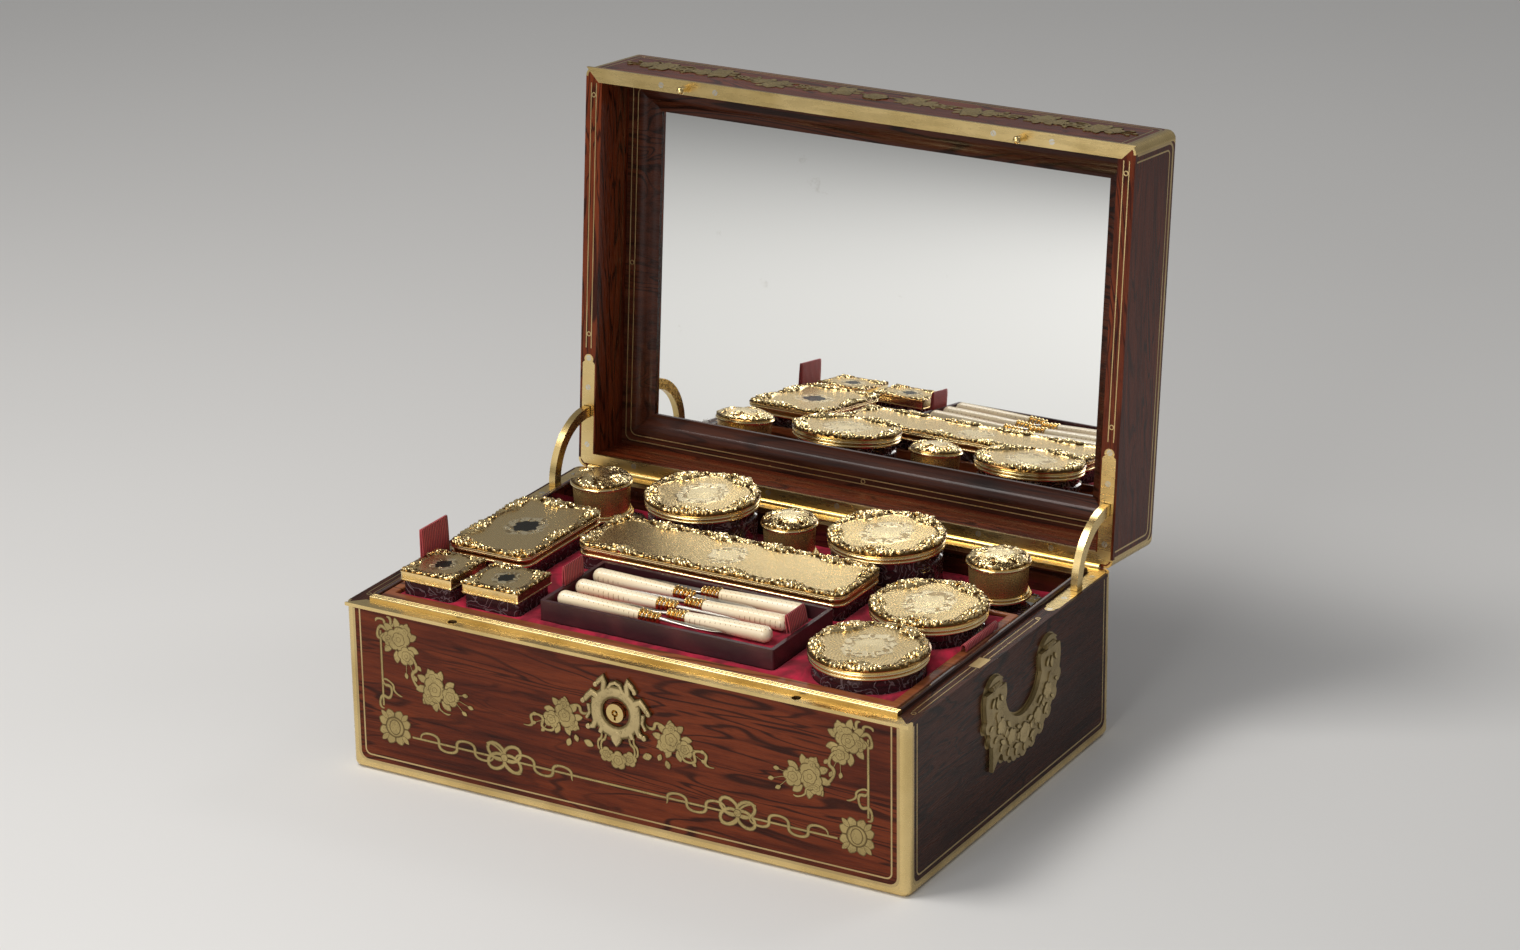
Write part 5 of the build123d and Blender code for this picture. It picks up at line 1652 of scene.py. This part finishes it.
    def tool_pad(self) -> None:
        """Build the tool tray's pad, pressed down under the six handles."""
        low, high = node_box("tool_tray_pad")
        bm = self.cloth_grid((low.x, high.x, low.y, high.y), 90, 48)
        for vert in bm.verts:
            x, y = vert.co.x, vert.co.y
            press = min(abs(y - row) for row, _ in ToolSet.rows())
            edge = min(x - low.x, high.x - x, y - low.y, high.y - y)
            crown = 1 - math.exp(-edge / 2.0)
            uneven = noise.noise(Vector((x * 0.1, y * 0.1, 7.0)))
            dip = 0.9 * math.exp(-((press / 5.5) ** 2))
            raised = (0.9 * (1 - dip) + 0.25 * uneven) * crown
            vert.co.z = high.z - 0.2 + raised - 0.8 * (1 - crown)
        self.close(bm, low.z + 0.05, "velvet_tool_pad", "tools", 0.3, "tool_tray_pad")


# ---------------------------------------------------------------- tools
@dataclass
class ToolSet:
    """Six steel tools with bone handles, laid head to tail.

    A blade's sections give the place along it, half of its width and half of its thickness.
    """

    steel: Metal
    bone: Bone
    collar: Metal
    start: float = 65.0
    tang: Sequence[tuple[float, float, float]] = ((0, 3.2, 2.4), (3, 3.4, 2.6))
    blades: Sequence[Sequence[tuple[float, float, float]]] = (
        ((8, 2.0, 1.8), (14, 1.6, 1.5), (24, 1.9, 0.9), (44, 3.0, 0.45), (56, 2.2, 0.35),
         (61, 0.3, 0.2)),
        ((8, 1.7, 1.7), (30, 1.4, 1.4), (50, 1.0, 1.0), (61, 0.2, 0.2)),
        ((8, 2.4, 1.6), (16, 3.1, 0.7), (52, 3.2, 0.55), (60, 1.2, 0.3), (61, 0.6, 0.2)),
    )

    @staticmethod
    def rows() -> list[tuple[float, int]]:
        """Return the row and the pointing direction of each tool."""
        front = node_box("tool_tray")[0].y
        left = [(front + step, 1) for step in (15.5, 38.0, 60.0)]
        right = [(front + step, -1) for step in (25.5, 48.0, 70.0)]
        return left + right

    def blade(self, sections: Sequence[tuple[float, float, float]]) -> bmesh.types.BMesh:
        """Build a flat blade from its tang and its further sections."""
        bm = bmesh.new()
        edges = []
        for x, half_y, half_z in (*self.tang, *sections):
            ring = bmesh.ops.create_circle(bm, radius=1, segments=12)["verts"]
            for vert in ring:
                bevel = 1.0 if abs(vert.co.y) < 0.9 else 0.6
                place = (self.start + x, vert.co.x * half_y, vert.co.y * half_z * bevel)
                vert.co = Vector(place)
            edges.append({edge for vert in ring for edge in vert.link_edges})
        for first, second in zip(edges, edges[1:]):
            bmesh.ops.bridge_loops(bm, edges=list(first | second))
        for ring in (edges[0], edges[-1]):
            bmesh.ops.contextual_create(bm, geom=list(ring))
        bmesh.ops.recalc_face_normals(bm, faces=bm.faces)
        return bm

    def beads(self) -> bmesh.types.BMesh:
        """Build the row of five beads at a handle's end."""
        bm = bmesh.new()
        for index in range(5):
            verts = bmesh.ops.create_uvsphere(bm, u_segments=18, v_segments=10, radius=1)["verts"]
            girth = 4.9 - 0.25 * index
            bmesh.ops.scale(bm, verts=verts, vec=(1.45, girth, girth))
            bmesh.ops.translate(bm, verts=verts, vec=(self.start - 0.4 + 3.2 * index, 0, 0))
        return bm

    def build(self) -> None:
        """Build the blades and the collars, and dress the handles."""
        steel, bone, collar = self.steel.build(), self.bone.build(), self.collar.build()
        dress("tool_handles", bone)
        dress("tool_blades", steel)
        low, high = node_box("tool_tray")
        blades = node_box("tool_blades")
        axis = (blades[0].z + blades[1].z) / 2
        for index, (row, way) in enumerate(self.rows()):
            end = low.x + 5.5 if way > 0 else high.x - 16
            turn = Matrix.Rotation(0 if way > 0 else math.pi, 4, "Z")
            place = Matrix.Translation(Vector((end, row, axis)) * MM) @ turn @ FLAT
            name = f"tool_blade_{index + 1}"
            bm = self.blade(self.blades[index % 3])
            blade = finish_piece(bm, name, [steel], "tools", place, 40)
            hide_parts("tool_blades")
            name = f"tool_collar_{index + 1}"
            finish_piece(self.beads(), name, [collar], "tools", place, 40)


# ---------------------------------------------------------------- marquetry
@dataclass
class Marquetry:
    """Brass let into the veneer: stringing, corner rosettes, bows, ribbons and flowers."""

    brass: Engraved
    line: Metal
    outer: float = 7.1
    inner: float = 11.9
    below_rim: float = 2.7

    def build(self) -> None:
        """Lay all the inlay."""
        self.engraved = self.brass.build()
        self.plain = self.line.build()
        self.case_lines()
        self.lid_lines()
        self.rim_lines()
        self.frame_lines()
        self.front()
        self.lid_front()

    def panel(
        self, name: str, matrix: Matrix, half: float, low: float, top: float, body: str,
        is_open: bool,
    ) -> None:
        """Lay a thick and a thin line round one face.

        Args:
            name: the piece's name.
            matrix: the face's matrix.
            half: half of the outer line's width.
            low: height of its lower run.
            top: height of its upper run or of its ends.
            body: the body that it rides on.
            is_open: whether it is open at the top.
        """
        inlay = Inlay(0.06)
        for inset, width in ((self.outer, 2.0), (self.inner, 1.1)):
            extra = inset - self.outer
            high = top if is_open else top - extra
            inlay.panel_line(half - extra, low + extra, high, 6.5 - extra * 0.5, width, is_open)
        inlay.finish(name, self.plain, body, matrix)

    def case_lines(self) -> None:
        """Lay the lines of the case's four walls."""
        wide, deep = BOX.half_width - self.outer, BOX.half_depth - self.outer
        top = BOX.rim - self.below_rim
        walls = {"front": (FRONT, wide), "back": (BACK, wide), "right": (RIGHT, deep)}
        walls["left"] = (LEFT, deep)
        for wall, (face, half) in walls.items():
            self.panel(f"lines_case_{wall}", face, half, self.outer, top, "case", True)

    def lid_face(self, origin: Sequence[float], across: Sequence[float]) -> Matrix:
        """Return the frame of one of the lid's walls, with its second direction down to the rim."""
        place = (*origin, BOX.lid_floor + BOX.lid_height)
        return BOX.lid_turn() @ face_frame(place, across, (0, 0, -1))

    def lid_lines(self) -> None:
        """Lay the lines of the lid's walls and of its top."""
        wide, deep = BOX.half_width - self.outer, BOX.half_depth - self.outer
        top = BOX.lid_height - self.below_rim
        walls = {
            "front": ((0, -BOX.half_depth), (-1, 0, 0), wide),
            "back": ((0, BOX.half_depth), (1, 0, 0), wide),
            "right": ((BOX.half_width, 0), (0, -1, 0), deep),
            "left": ((-BOX.half_width, 0), (0, 1, 0), deep),
        }
        for wall, (origin, across, half) in walls.items():
            face = self.lid_face(origin, across)
            self.panel(f"lines_lid_{wall}", face, half, self.outer, top, "lid", True)
        face = BOX.lid_turn() @ LID_TOP
        self.panel("lines_lid_top", face, wide, -deep, deep, "lid", False)

    def rim_lines(self) -> None:
        """Lay the lines and rings of both rims, and the plates at the stays."""
        case_rim = Matrix.Translation((0, 0, BOX.rim * MM)) @ FLAT
        rims = {
            "lid": (BOX.lid_turn() @ LID_RIM, ((-136.6, 58.0),)),
            "case": (case_rim, ((-125.6, -46), (-28, 45.2))),
        }
        for body, (face, runs) in rims.items():
            rim = Inlay(0.05)
            for x in (-206.4, -210.6):
                for start, end in runs:
                    rim.ribbon([(x, start), (x, end)], 0.7)
            for y in (47.5, -128.0):
                rim.ring((-208.5, y), 1.5, 0.7)
            if body == "case":
                rim.ribbon([(-208.5, -45), (-208.5, -29)], 8.0)
            rim.finish(f"lines_{body}_rim", self.plain, body, face, mirrored=True)

    def frame_lines(self) -> None:
        """Lay the lines of the mirror's frame, with a ring at the middle of each side."""
        face = face_frame((0, 0, BOX.lid_floor + 38.0), (-1, 0, 0), (0, 1, 0))
        wide = node_box("mirror_back")[1].x
        inlay = Inlay(0.05)
        for inset, width in ((3.4, 0.8), (7.6, 0.8)):
            inlay.panel_line(wide - inset, -137.3 + inset, 137.0 - inset, 5.0, width, False)
        for spot in ((0, -131.8), (0, 131.5), (wide - 5.5, 0), (5.5 - wide, 0)):
            inlay.ring(spot, 1.5, 0.7)
        inlay.finish("lines_mirror_frame", self.plain, "lid", BOX.lid_turn() @ face)

    def front(self) -> None:
        """Lay the flowers, bows, rosettes and ribbons of the front."""
        art = Inlay(0.14)
        corner = (-178, 36.5)
        for index in range(8):
            angle = 22.5 + 45 * index
            art.blade(polar(corner, 9.6, angle), 8.6, 8.2, angle)
        for index in range(4):
            angle = 45 + 90 * index
            art.blade(polar(corner, 11.4, angle), 8.0, 4.4, angle, 0.04)
        art.disc(corner, 7.8, 0.03)
        art.ring(corner, 6.4, 1.1)
        art.disc(corner, 4.6, 0.12, 1.25)
        art.ribbon([(-186.5, 51), (-186.5, 106)], 1.9)
        art.wave((-186, 49), (-182, 70), 4.0, 1.2, 2.7)
        art.wave((-186, 70), (-171, 62), 2.2, 0.9, 2.0)
        art.wave((-186, 100), (-181, 117), 4.2, 1.0, 3.0)
        art.wave((-190, 112), (-176, 113), 2.4, 1.0, 2.4)
        art.ribbon([(-164, 32), (0, 32)], 1.8)
        art.bow((-90, 33), 14.5)
        art.wave((-157, 32), (-99, 33), 5.4, 2.0, 2.7)
        art.wave((-81, 33), (-34, 31), 5.2, 1.6, 2.7)
        art.wave((-104, 41), (-77, 24), 3.2, 1.0, 2.3)
        art.spray((-172, 102), 9.6, -62)
        art.wave((-166, 92), (-154, 70), 4.0, 1.0, 3.0)
        art.spray((-144, 71), 9.8, -12)
        art.wave((-150, 64), (-132, 56), 2.2, 1.0, 1.7)
        art.wave((-21, 84), (-36, 79), 3.4, 1.0, 2.8)
        art.spray((-41, 74.5), 8.8, 205)
        art.wave((-50, 66), (-72, 66), 4.8, 1.3, 2.6)
        art.blade((-38, 56), 6.5, 4.6, 250)
        art.blade((-32, 60), 5.5, 4.0, 290)
        for strand in (0, 1):
            art.wave((-10 - 3.5 * strand, 71), (-12 - 2 * strand, 56), 1.4, 1.0, 2.2)
        art.blade((-22.5, 58.5), 8.0, 5.6, 340)
        art.flower((-9, 53.5), 5.6, 5, 20)
        art.double()
        art.flower((0, 51), 6.8, 5, 90)
        art.finish("inlay_front", self.engraved, "case", FRONT)

    def lid_front(self) -> None:
        """Lay the long garland of the lid's front wall."""
        art = Inlay(0.14)
        stem = 33.0
        for index, x in enumerate((-28.0, -78.0, -128.0)):
            art.spray((x, stem + (4 if index % 2 else -4)), 9.5, 200 if index % 2 else 165)
            art.wave((x + 20, stem), (x - 22, stem), 5.2, 1.6, 2.3)
            art.bow((x - 25, stem), 9.0)
        art.spray((-172, stem), 9.0, 180)
        art.wave((-150, stem - 8), (-186, stem + 8), 4.0, 1.5, 2.2)
        art.wave((-150, stem + 9), (-184, stem - 9), 3.6, 1.3, 2.0)
        art.double()
        art.flower((0, stem), 9.5, 6)
        face = self.lid_face((0, -BOX.half_depth), (-1, 0, 0))
        art.finish("inlay_lid_front", self.engraved, "lid", face)


# ---------------------------------------------------------------- brass furniture
@dataclass
class Furniture:
    """Screws, and the chased relief of the lock's plate and of the carrying handles."""

    brass: Engraved
    screw: Metal
    head: float = 2.1
    slot: float = 0.24
    proud: float = 0.07

    def screws(self, name: str, places: Sequence[Point], matrix: Matrix, body: str) -> None:
        """Set slotted screw heads flush in a face."""
        bm = bmesh.new()
        for index, (x, y) in enumerate(places):
            turn = Matrix.Rotation(0.7 + 1.9 * index, 4, "Z")
            for side in (1, -1):
                half = bmesh.new()
                bmesh.ops.create_circle(half, cap_ends=True, radius=self.head, segments=22)
                geom = list(half.verts) + list(half.edges) + list(half.faces)
                bmesh.ops.bisect_plane(
                    half, geom=geom, plane_co=(0, self.slot * side, 0), plane_no=(0, side, 0),
                    clear_inner=True,
                )
                made = bmesh.ops.extrude_face_region(half, geom=list(half.faces))
                verts = verts_of(made["geom"])
                bmesh.ops.translate(half, verts=verts, vec=(0, 0, self.proud))
                place = Matrix.Translation((x, y, 0)) @ turn
                bmesh.ops.transform(half, matrix=place, verts=half.verts)
                mesh = bpy.data.meshes.new("screw_half")
                half.to_mesh(mesh)
                half.free()
                bm.from_mesh(mesh)
                bpy.data.meshes.remove(mesh)
        bmesh.ops.recalc_face_normals(bm, faces=bm.faces)
        finish_piece(bm, name, [self.bright], body, matrix, 30)

    def build(self) -> None:
        """Build the screws and the relief."""
        self.bright = self.screw.build()
        self.engraved = self.brass.build()
        leaf = [(side * 208.2, y) for side in (-1, 1) for y in (65.5, 87.5, 130.5)]
        back = [(x, 140.4) for x in (-168, -112, -56, 0, 56, 112, 168)]
        rim = Matrix.Translation((0, 0, BOX.rim * MM)) @ FLAT
        self.screws("screws_case_leaves", leaf + back, rim, "case")
        strip = [(x, -142.0) for x in (-153, -109, 109, 153)]
        lid_rim = BOX.lid_turn() @ LID_RIM
        self.screws("screws_lid_leaves", leaf + back + strip, lid_rim, "lid")
        self.lock_relief()
        for side, body in ((1, "bail_right"), (-1, "bail_left")):
            self.handle_relief(side, body)

    def lock_relief(self) -> None:
        """Build the lock's plate: a ring held by scrolls, with a pendant leaf."""
        art = Inlay(2.2, 0.5)
        art.ribbon(
            [(7.2, 96), (9.2, 101), (8.6, 105.5), (9.8, 108.2), (12.6, 105.8), (15.2, 102.3)],
            [5.0, 4.4, 4.2, 4.2, 3.8, 2.4],
        )
        art.ribbon(
            [(11.5, 92), (15.5, 95.2), (18.5, 96.6), (21.2, 93.8), (23.6, 90.8), (26.0, 88.9)],
            [5.0, 5.2, 4.6, 4.4, 3.8, 2.2],
        )
        art.ribbon(
            [(15.8, 93), (16.9, 88), (16.9, 82), (15.6, 77), (17.6, 72.8), (21.8, 71.4)],
            [5.5, 4.4, 4.4, 4.6, 4.2, 2.4],
        )
        art.ribbon([(8.2, 77), (10.6, 73.4), (12.4, 69.2)], [5.0, 4.6, 3.4])
        art.ribbon([(21, 88), (20.2, 82), (22.6, 77.5)], [3.2, 2.4, 2.6])
        art.disc((15.0, 103.0), 1.8, 0.3)
        art.disc((25.0, 89.6), 1.9, 0.3)
        art.disc((21.4, 71.8), 2.0, 0.3)
        art.double()
        art.ring((0, 85.7), 14.6, 8.6)
        art.ribbon([(-5.6, 101.8), (-3.4, 105.4), (0, 106.8), (3.4, 105.4), (5.6, 101.8)], 2.6)
        art.blade((0, 67.5), 13.0, 9.0, 90, 0.1, 0.7)
        piece = art.finish("lock_escutcheon", self.engraved, "case", FRONT)
        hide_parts("escutcheon")

    def handle_relief(self, side: int, body: str) -> None:
        """Chase flowers and leaves on a carrying handle, on the side of the sign of x."""
        low, high = node_box(f"handle_{body}")
        face_x = high.x if side > 0 else -low.x
        frame_x = face_frame((side * (face_x - 1.05), 8.5, 97.0), (0, side, 0), (0, 0, 1))
        art = Inlay(0.55, 0.5)
        pivot = (0.0, 0.0)
        for step in range(5):
            angle = 215 + 27.5 * step
            size, petals = (7.6, 6) if step == 2 else (6.2, 5)
            art.flower(polar(pivot, 41.0, angle), size, petals, angle)
        for step in range(4):
            angle = 228.75 + 27.5 * step
            for reach, size, lean in ((34.5, 7.5, 80), (47.5, 8.5, 100), (41.0, 6.0, 0)):
                art.blade(polar(pivot, reach, angle), size, size * 0.5, angle + lean)
        for step in range(11):
            angle = 203 + 13.4 * step
            art.blade(polar(pivot, 51.4, angle), 6.0, 3.2, angle, -0.25)
        for centre in (-39.5, 39.5):
            art.blade((centre, -5.0), 9.0, 4.6, 90)
            art.blade((centre - 6, -3.0), 7.0, 3.6, 60)
            art.blade((centre + 6, -3.0), 7.0, 3.6, 120)
        art.finish(f"relief_{body}", self.engraved, body, frame_x)


# ---------------------------------------------------------------- packed nodes
@dataclass
class Carcass:
    """Finishes of the packed nodes that keep their own shape."""

    front_wood: Wood
    side_wood: Wood
    lid_wood: Wood
    lid_side_wood: Wood
    frame_wood: Wood
    liner_wood: Wood
    tray_wood: Wood
    inner_wood: Wood
    brass: Metal
    old_brass: Engraved
    steel: Metal
    mirror: Silvered
    leather: Leather

    def build(self) -> None:
        """Dress the nodes."""
        brass, engraved, steel = self.brass.build(), self.old_brass.build(), self.steel.build()
        front, side = self.front_wood.build(), self.side_wood.build()
        inner = self.inner_wood.build()
        finishes = {
            "case_front": front, "case_back": front, "case_sides": side, "case_bottom": inner,
            "lid_front": self.lid_wood.build(), "lid_sides": self.lid_side_wood.build(),
            "mirror_frame": self.frame_wood.build(), "mirror_back": inner,
            "dust_liners": self.liner_wood.build(), "tray_frame": self.tray_wood.build(),
            "rear_nest": inner, "tray_nest": inner,
            "case_edging": brass, "lid_edging": brass, "case_rim_strip": brass,
            "lid_rim_strip": brass, "hinge_case_leaves": brass, "hinge_lid_leaves": brass,
            "hinge_pin": brass, "stay_arm_left": brass, "stay_arm_right": brass,
            "escutcheon": engraved, "handle_plates": engraved, "handle_bail_left": engraved,
            "handle_bail_right": engraved, "lock_cylinder": brass, "lock_plate": brass,
            "lock_bolt": steel, "mirror_glass": self.mirror.build(),
            "tool_tray": self.leather.build(),
        }
        finishes["lid_back"] = finishes["lid_top"] = finishes["lid_front"]
        ribbon = Grosgrain("ribbon_plain").build()
        velvet = Velvet("velvet_plain").build()
        finishes.update({"tray_pulls": ribbon, "tool_tray_pulls": ribbon, "tool_tray_pad": velvet})
        for node, material in finishes.items():
            dress(node, material)


# ---------------------------------------------------------------- studio
@dataclass
class Studio:
    """Camera, soft lamps, a grey surround and a pale floor."""

    azimuth: float = 30.237
    elevation: float = 20.835
    roll: float = -0.762
    shift: Point = (18.361, 188.182)
    distance: float = 2914.9
    focal: float = 4237.3
    image_width: float = 1520.0
    floor_colour: Colour = (0.74, 0.735, 0.725)
    surround: float = 0.24
    sensor: float = 36.0
    aim: Sequence[float] = (0, 0, 0.14)

    def camera(self) -> None:
        """Place the camera."""
        angles = (self.azimuth, self.elevation, self.roll)
        azimuth, elevation, roll = (math.radians(angle) for angle in angles)
        back = Vector((
            math.sin(azimuth) * math.cos(elevation), -math.cos(azimuth) * math.cos(elevation),
            math.sin(elevation),
        ))
        right = Vector((math.cos(azimuth), math.sin(azimuth), 0))
        up = back.cross(right)
        across = right * math.cos(roll) + up * math.sin(roll)
        over = up * math.cos(roll) - right * math.sin(roll)
        place = back * self.distance + across * self.shift[0] + over * self.shift[1]
        data = bpy.data.cameras.new("camera")
        data.lens = self.focal * self.sensor / self.image_width
        data.sensor_width = self.sensor
        data.clip_start, data.clip_end = 0.05, 40
        eye = bpy.data.objects.new("camera", data)
        basis = Matrix((across, over, back)).transposed().to_4x4()
        eye.matrix_world = Matrix.Translation(place * MM) @ basis
        bpy.context.scene.collection.objects.link(eye)
        bpy.context.scene.camera = eye

    def lamp(
        self, name: str, place: Sequence[float], size: float, power: float, warmth: float
    ) -> None:
        """Hang a square soft lamp that points at the box.

        Args:
            name: the lamp's name.
            place: where it hangs, in metres.
            size: its side.
            power: in watts.
            warmth: 0 for white, 1 for warm.
        """
        data = bpy.data.lights.new(name, "AREA")
        data.shape = "SQUARE"
        data.size = size
        data.energy = power
        data.color = (1.0, 1.0 - 0.06 * warmth, 1.0 - 0.14 * warmth)
        lamp = bpy.data.objects.new(name, data)
        aim = (Vector(self.aim) - Vector(place)).to_track_quat("-Z", "Y")
        lamp.matrix_world = Matrix.Translation(place) @ aim.to_matrix().to_4x4()
        bpy.context.scene.collection.objects.link(lamp)

    def build(self) -> None:
        """Build the studio."""
        self.camera()
        world = bpy.data.worlds.new("surround")
        bpy.context.scene.world = world
        world.use_nodes = True
        world.node_tree.nodes["Background"].inputs[0].default_value = (self.surround,) * 3 + (1,)
        world.node_tree.nodes["Background"].inputs[1].default_value = 1.0
        self.lamp("key", (-0.8, -0.7, 2.2), 0.9, 32, 0.4)
        self.lamp("fill", (0.1, -2.1, 0.8), 1.0, 18, 0.2)
        self.lamp("card", (-1.1, -1.9, 1.35), 1.5, 5, 0.2)
        self.lamp("rim", (0.9, 1.5, 1.9), 0.6, 4, 0.0)
        bm = bmesh.new()
        bmesh.ops.create_grid(bm, x_segments=1, y_segments=1, size=7)
        mesh = bpy.data.meshes.new("floor")
        bm.to_mesh(mesh)
        bm.free()
        shader = Shader("floor")
        cloud = shader.noise(shader.coords(), 2.0, 2)
        dim = tuple(0.97 * part for part in self.floor_colour)
        shader.set(Base_Color=shader.mix(cloud, self.floor_colour, dim), Roughness=0.75)
        mesh.materials.append(shader.material)
        floor = bpy.data.objects.new("floor", mesh)
        bpy.context.scene.collection.objects.link(floor)
        bpy.context.scene.view_settings.view_transform = "Standard"


# ---------------------------------------------------------------- the whole box
def main() -> None:
    """Dress the dressing box."""
    logging.basicConfig(level=logging.INFO, format="%(name)s: %(message)s")
    rose = ((0.024, 0.0042, 0.0018), (0.088, 0.0145, 0.0042), (0.150, 0.028, 0.0075))
    # A darker rosewood: the wood of the mirror frame and the dust liners, and painted shade on the
    # case's sides.
    dark_and_shaded_rose = ((0.010, 0.003, 0.0018), (0.036, 0.009, 0.004), (0.065, 0.017, 0.007))
    Carcass(
        front_wood=Wood("rosewood_front", *rose),
        # The case's sides take the darker rosewood as painted shade, for the side turned from the
        # key lamp.
        side_wood=Wood("rosewood_side", *dark_and_shaded_rose, grain=Grain.ALONG_Y, figure=1.3, coat=0.0),
        lid_wood=Wood("rosewood_lid", *rose),
        lid_side_wood=Wood("rosewood_lid_side", *rose, grain=Grain.UPRIGHT),
        frame_wood=Wood("rosewood_frame", *dark_and_shaded_rose, figure=0.7),
        liner_wood=Wood("rosewood_liner", *dark_and_shaded_rose, figure=0.6, gloss=0.1, coat=0.9),
        tray_wood=Wood(
            "mahogany_tray", (0.10, 0.026, 0.010), (0.26, 0.075, 0.026), (0.36, 0.12, 0.045),
            figure=0.5, gloss=0.3, coat=0.3,
        ),
        inner_wood=Wood(
            "stained_board", (0.02, 0.01, 0.008), (0.05, 0.02, 0.012), (0.07, 0.03, 0.016)
        ),
        brass=Metal("brass_polished", (0.78, 0.59, 0.27), (0.62, 0.45, 0.18), 0.27, (2, 12, 12)),
        old_brass=Engraved("brass_chased", (0.42, 0.32, 0.15), (0.12, 0.08, 0.03)),
        steel=Metal("steel_lock", (0.60, 0.58, 0.55), (0.45, 0.43, 0.40), 0.25),
        mirror=Silvered("mirror_silvered"),
        leather=Leather("leather_morocco"),
    ).build()
    Vessels(
        gilt=Gilt("gilt_chased"),
        # Dark gilt for the band between mouldings: painted shade in its hollow.
        band_shade=Metal("gilt_shadow", (0.30, 0.10, 0.04), (0.45, 0.22, 0.08), 0.3),
        glass=Crystal("crystal_cut"),
    ).build()
    VelvetLining(cloth=Velvet("velvet_plum")).build()
    Ribbons(cloth=Grosgrain("ribbon_grosgrain")).build()
    ToolSet(
        steel=Metal("steel_tools", (0.50, 0.47, 0.42), (0.34, 0.30, 0.24), 0.3),
        bone=Bone("bone_carved"),
        collar=Metal("gilt_collar", (0.92, 0.66, 0.28), (0.70, 0.45, 0.16), 0.22),
    ).build()
    Marquetry(
        brass=Engraved("brass_inlay"),
        line=Metal("brass_line", (0.62, 0.47, 0.23), (0.46, 0.33, 0.15), 0.3),
    ).build()
    Furniture(
        brass=Engraved("brass_relief", (0.58, 0.45, 0.22), (0.13, 0.09, 0.03)),
        screw=Metal("steel_screws", (0.70, 0.66, 0.56), (0.50, 0.45, 0.36), 0.3),
    ).build()
    Studio().build()


if __name__ == "__main__":
    main()
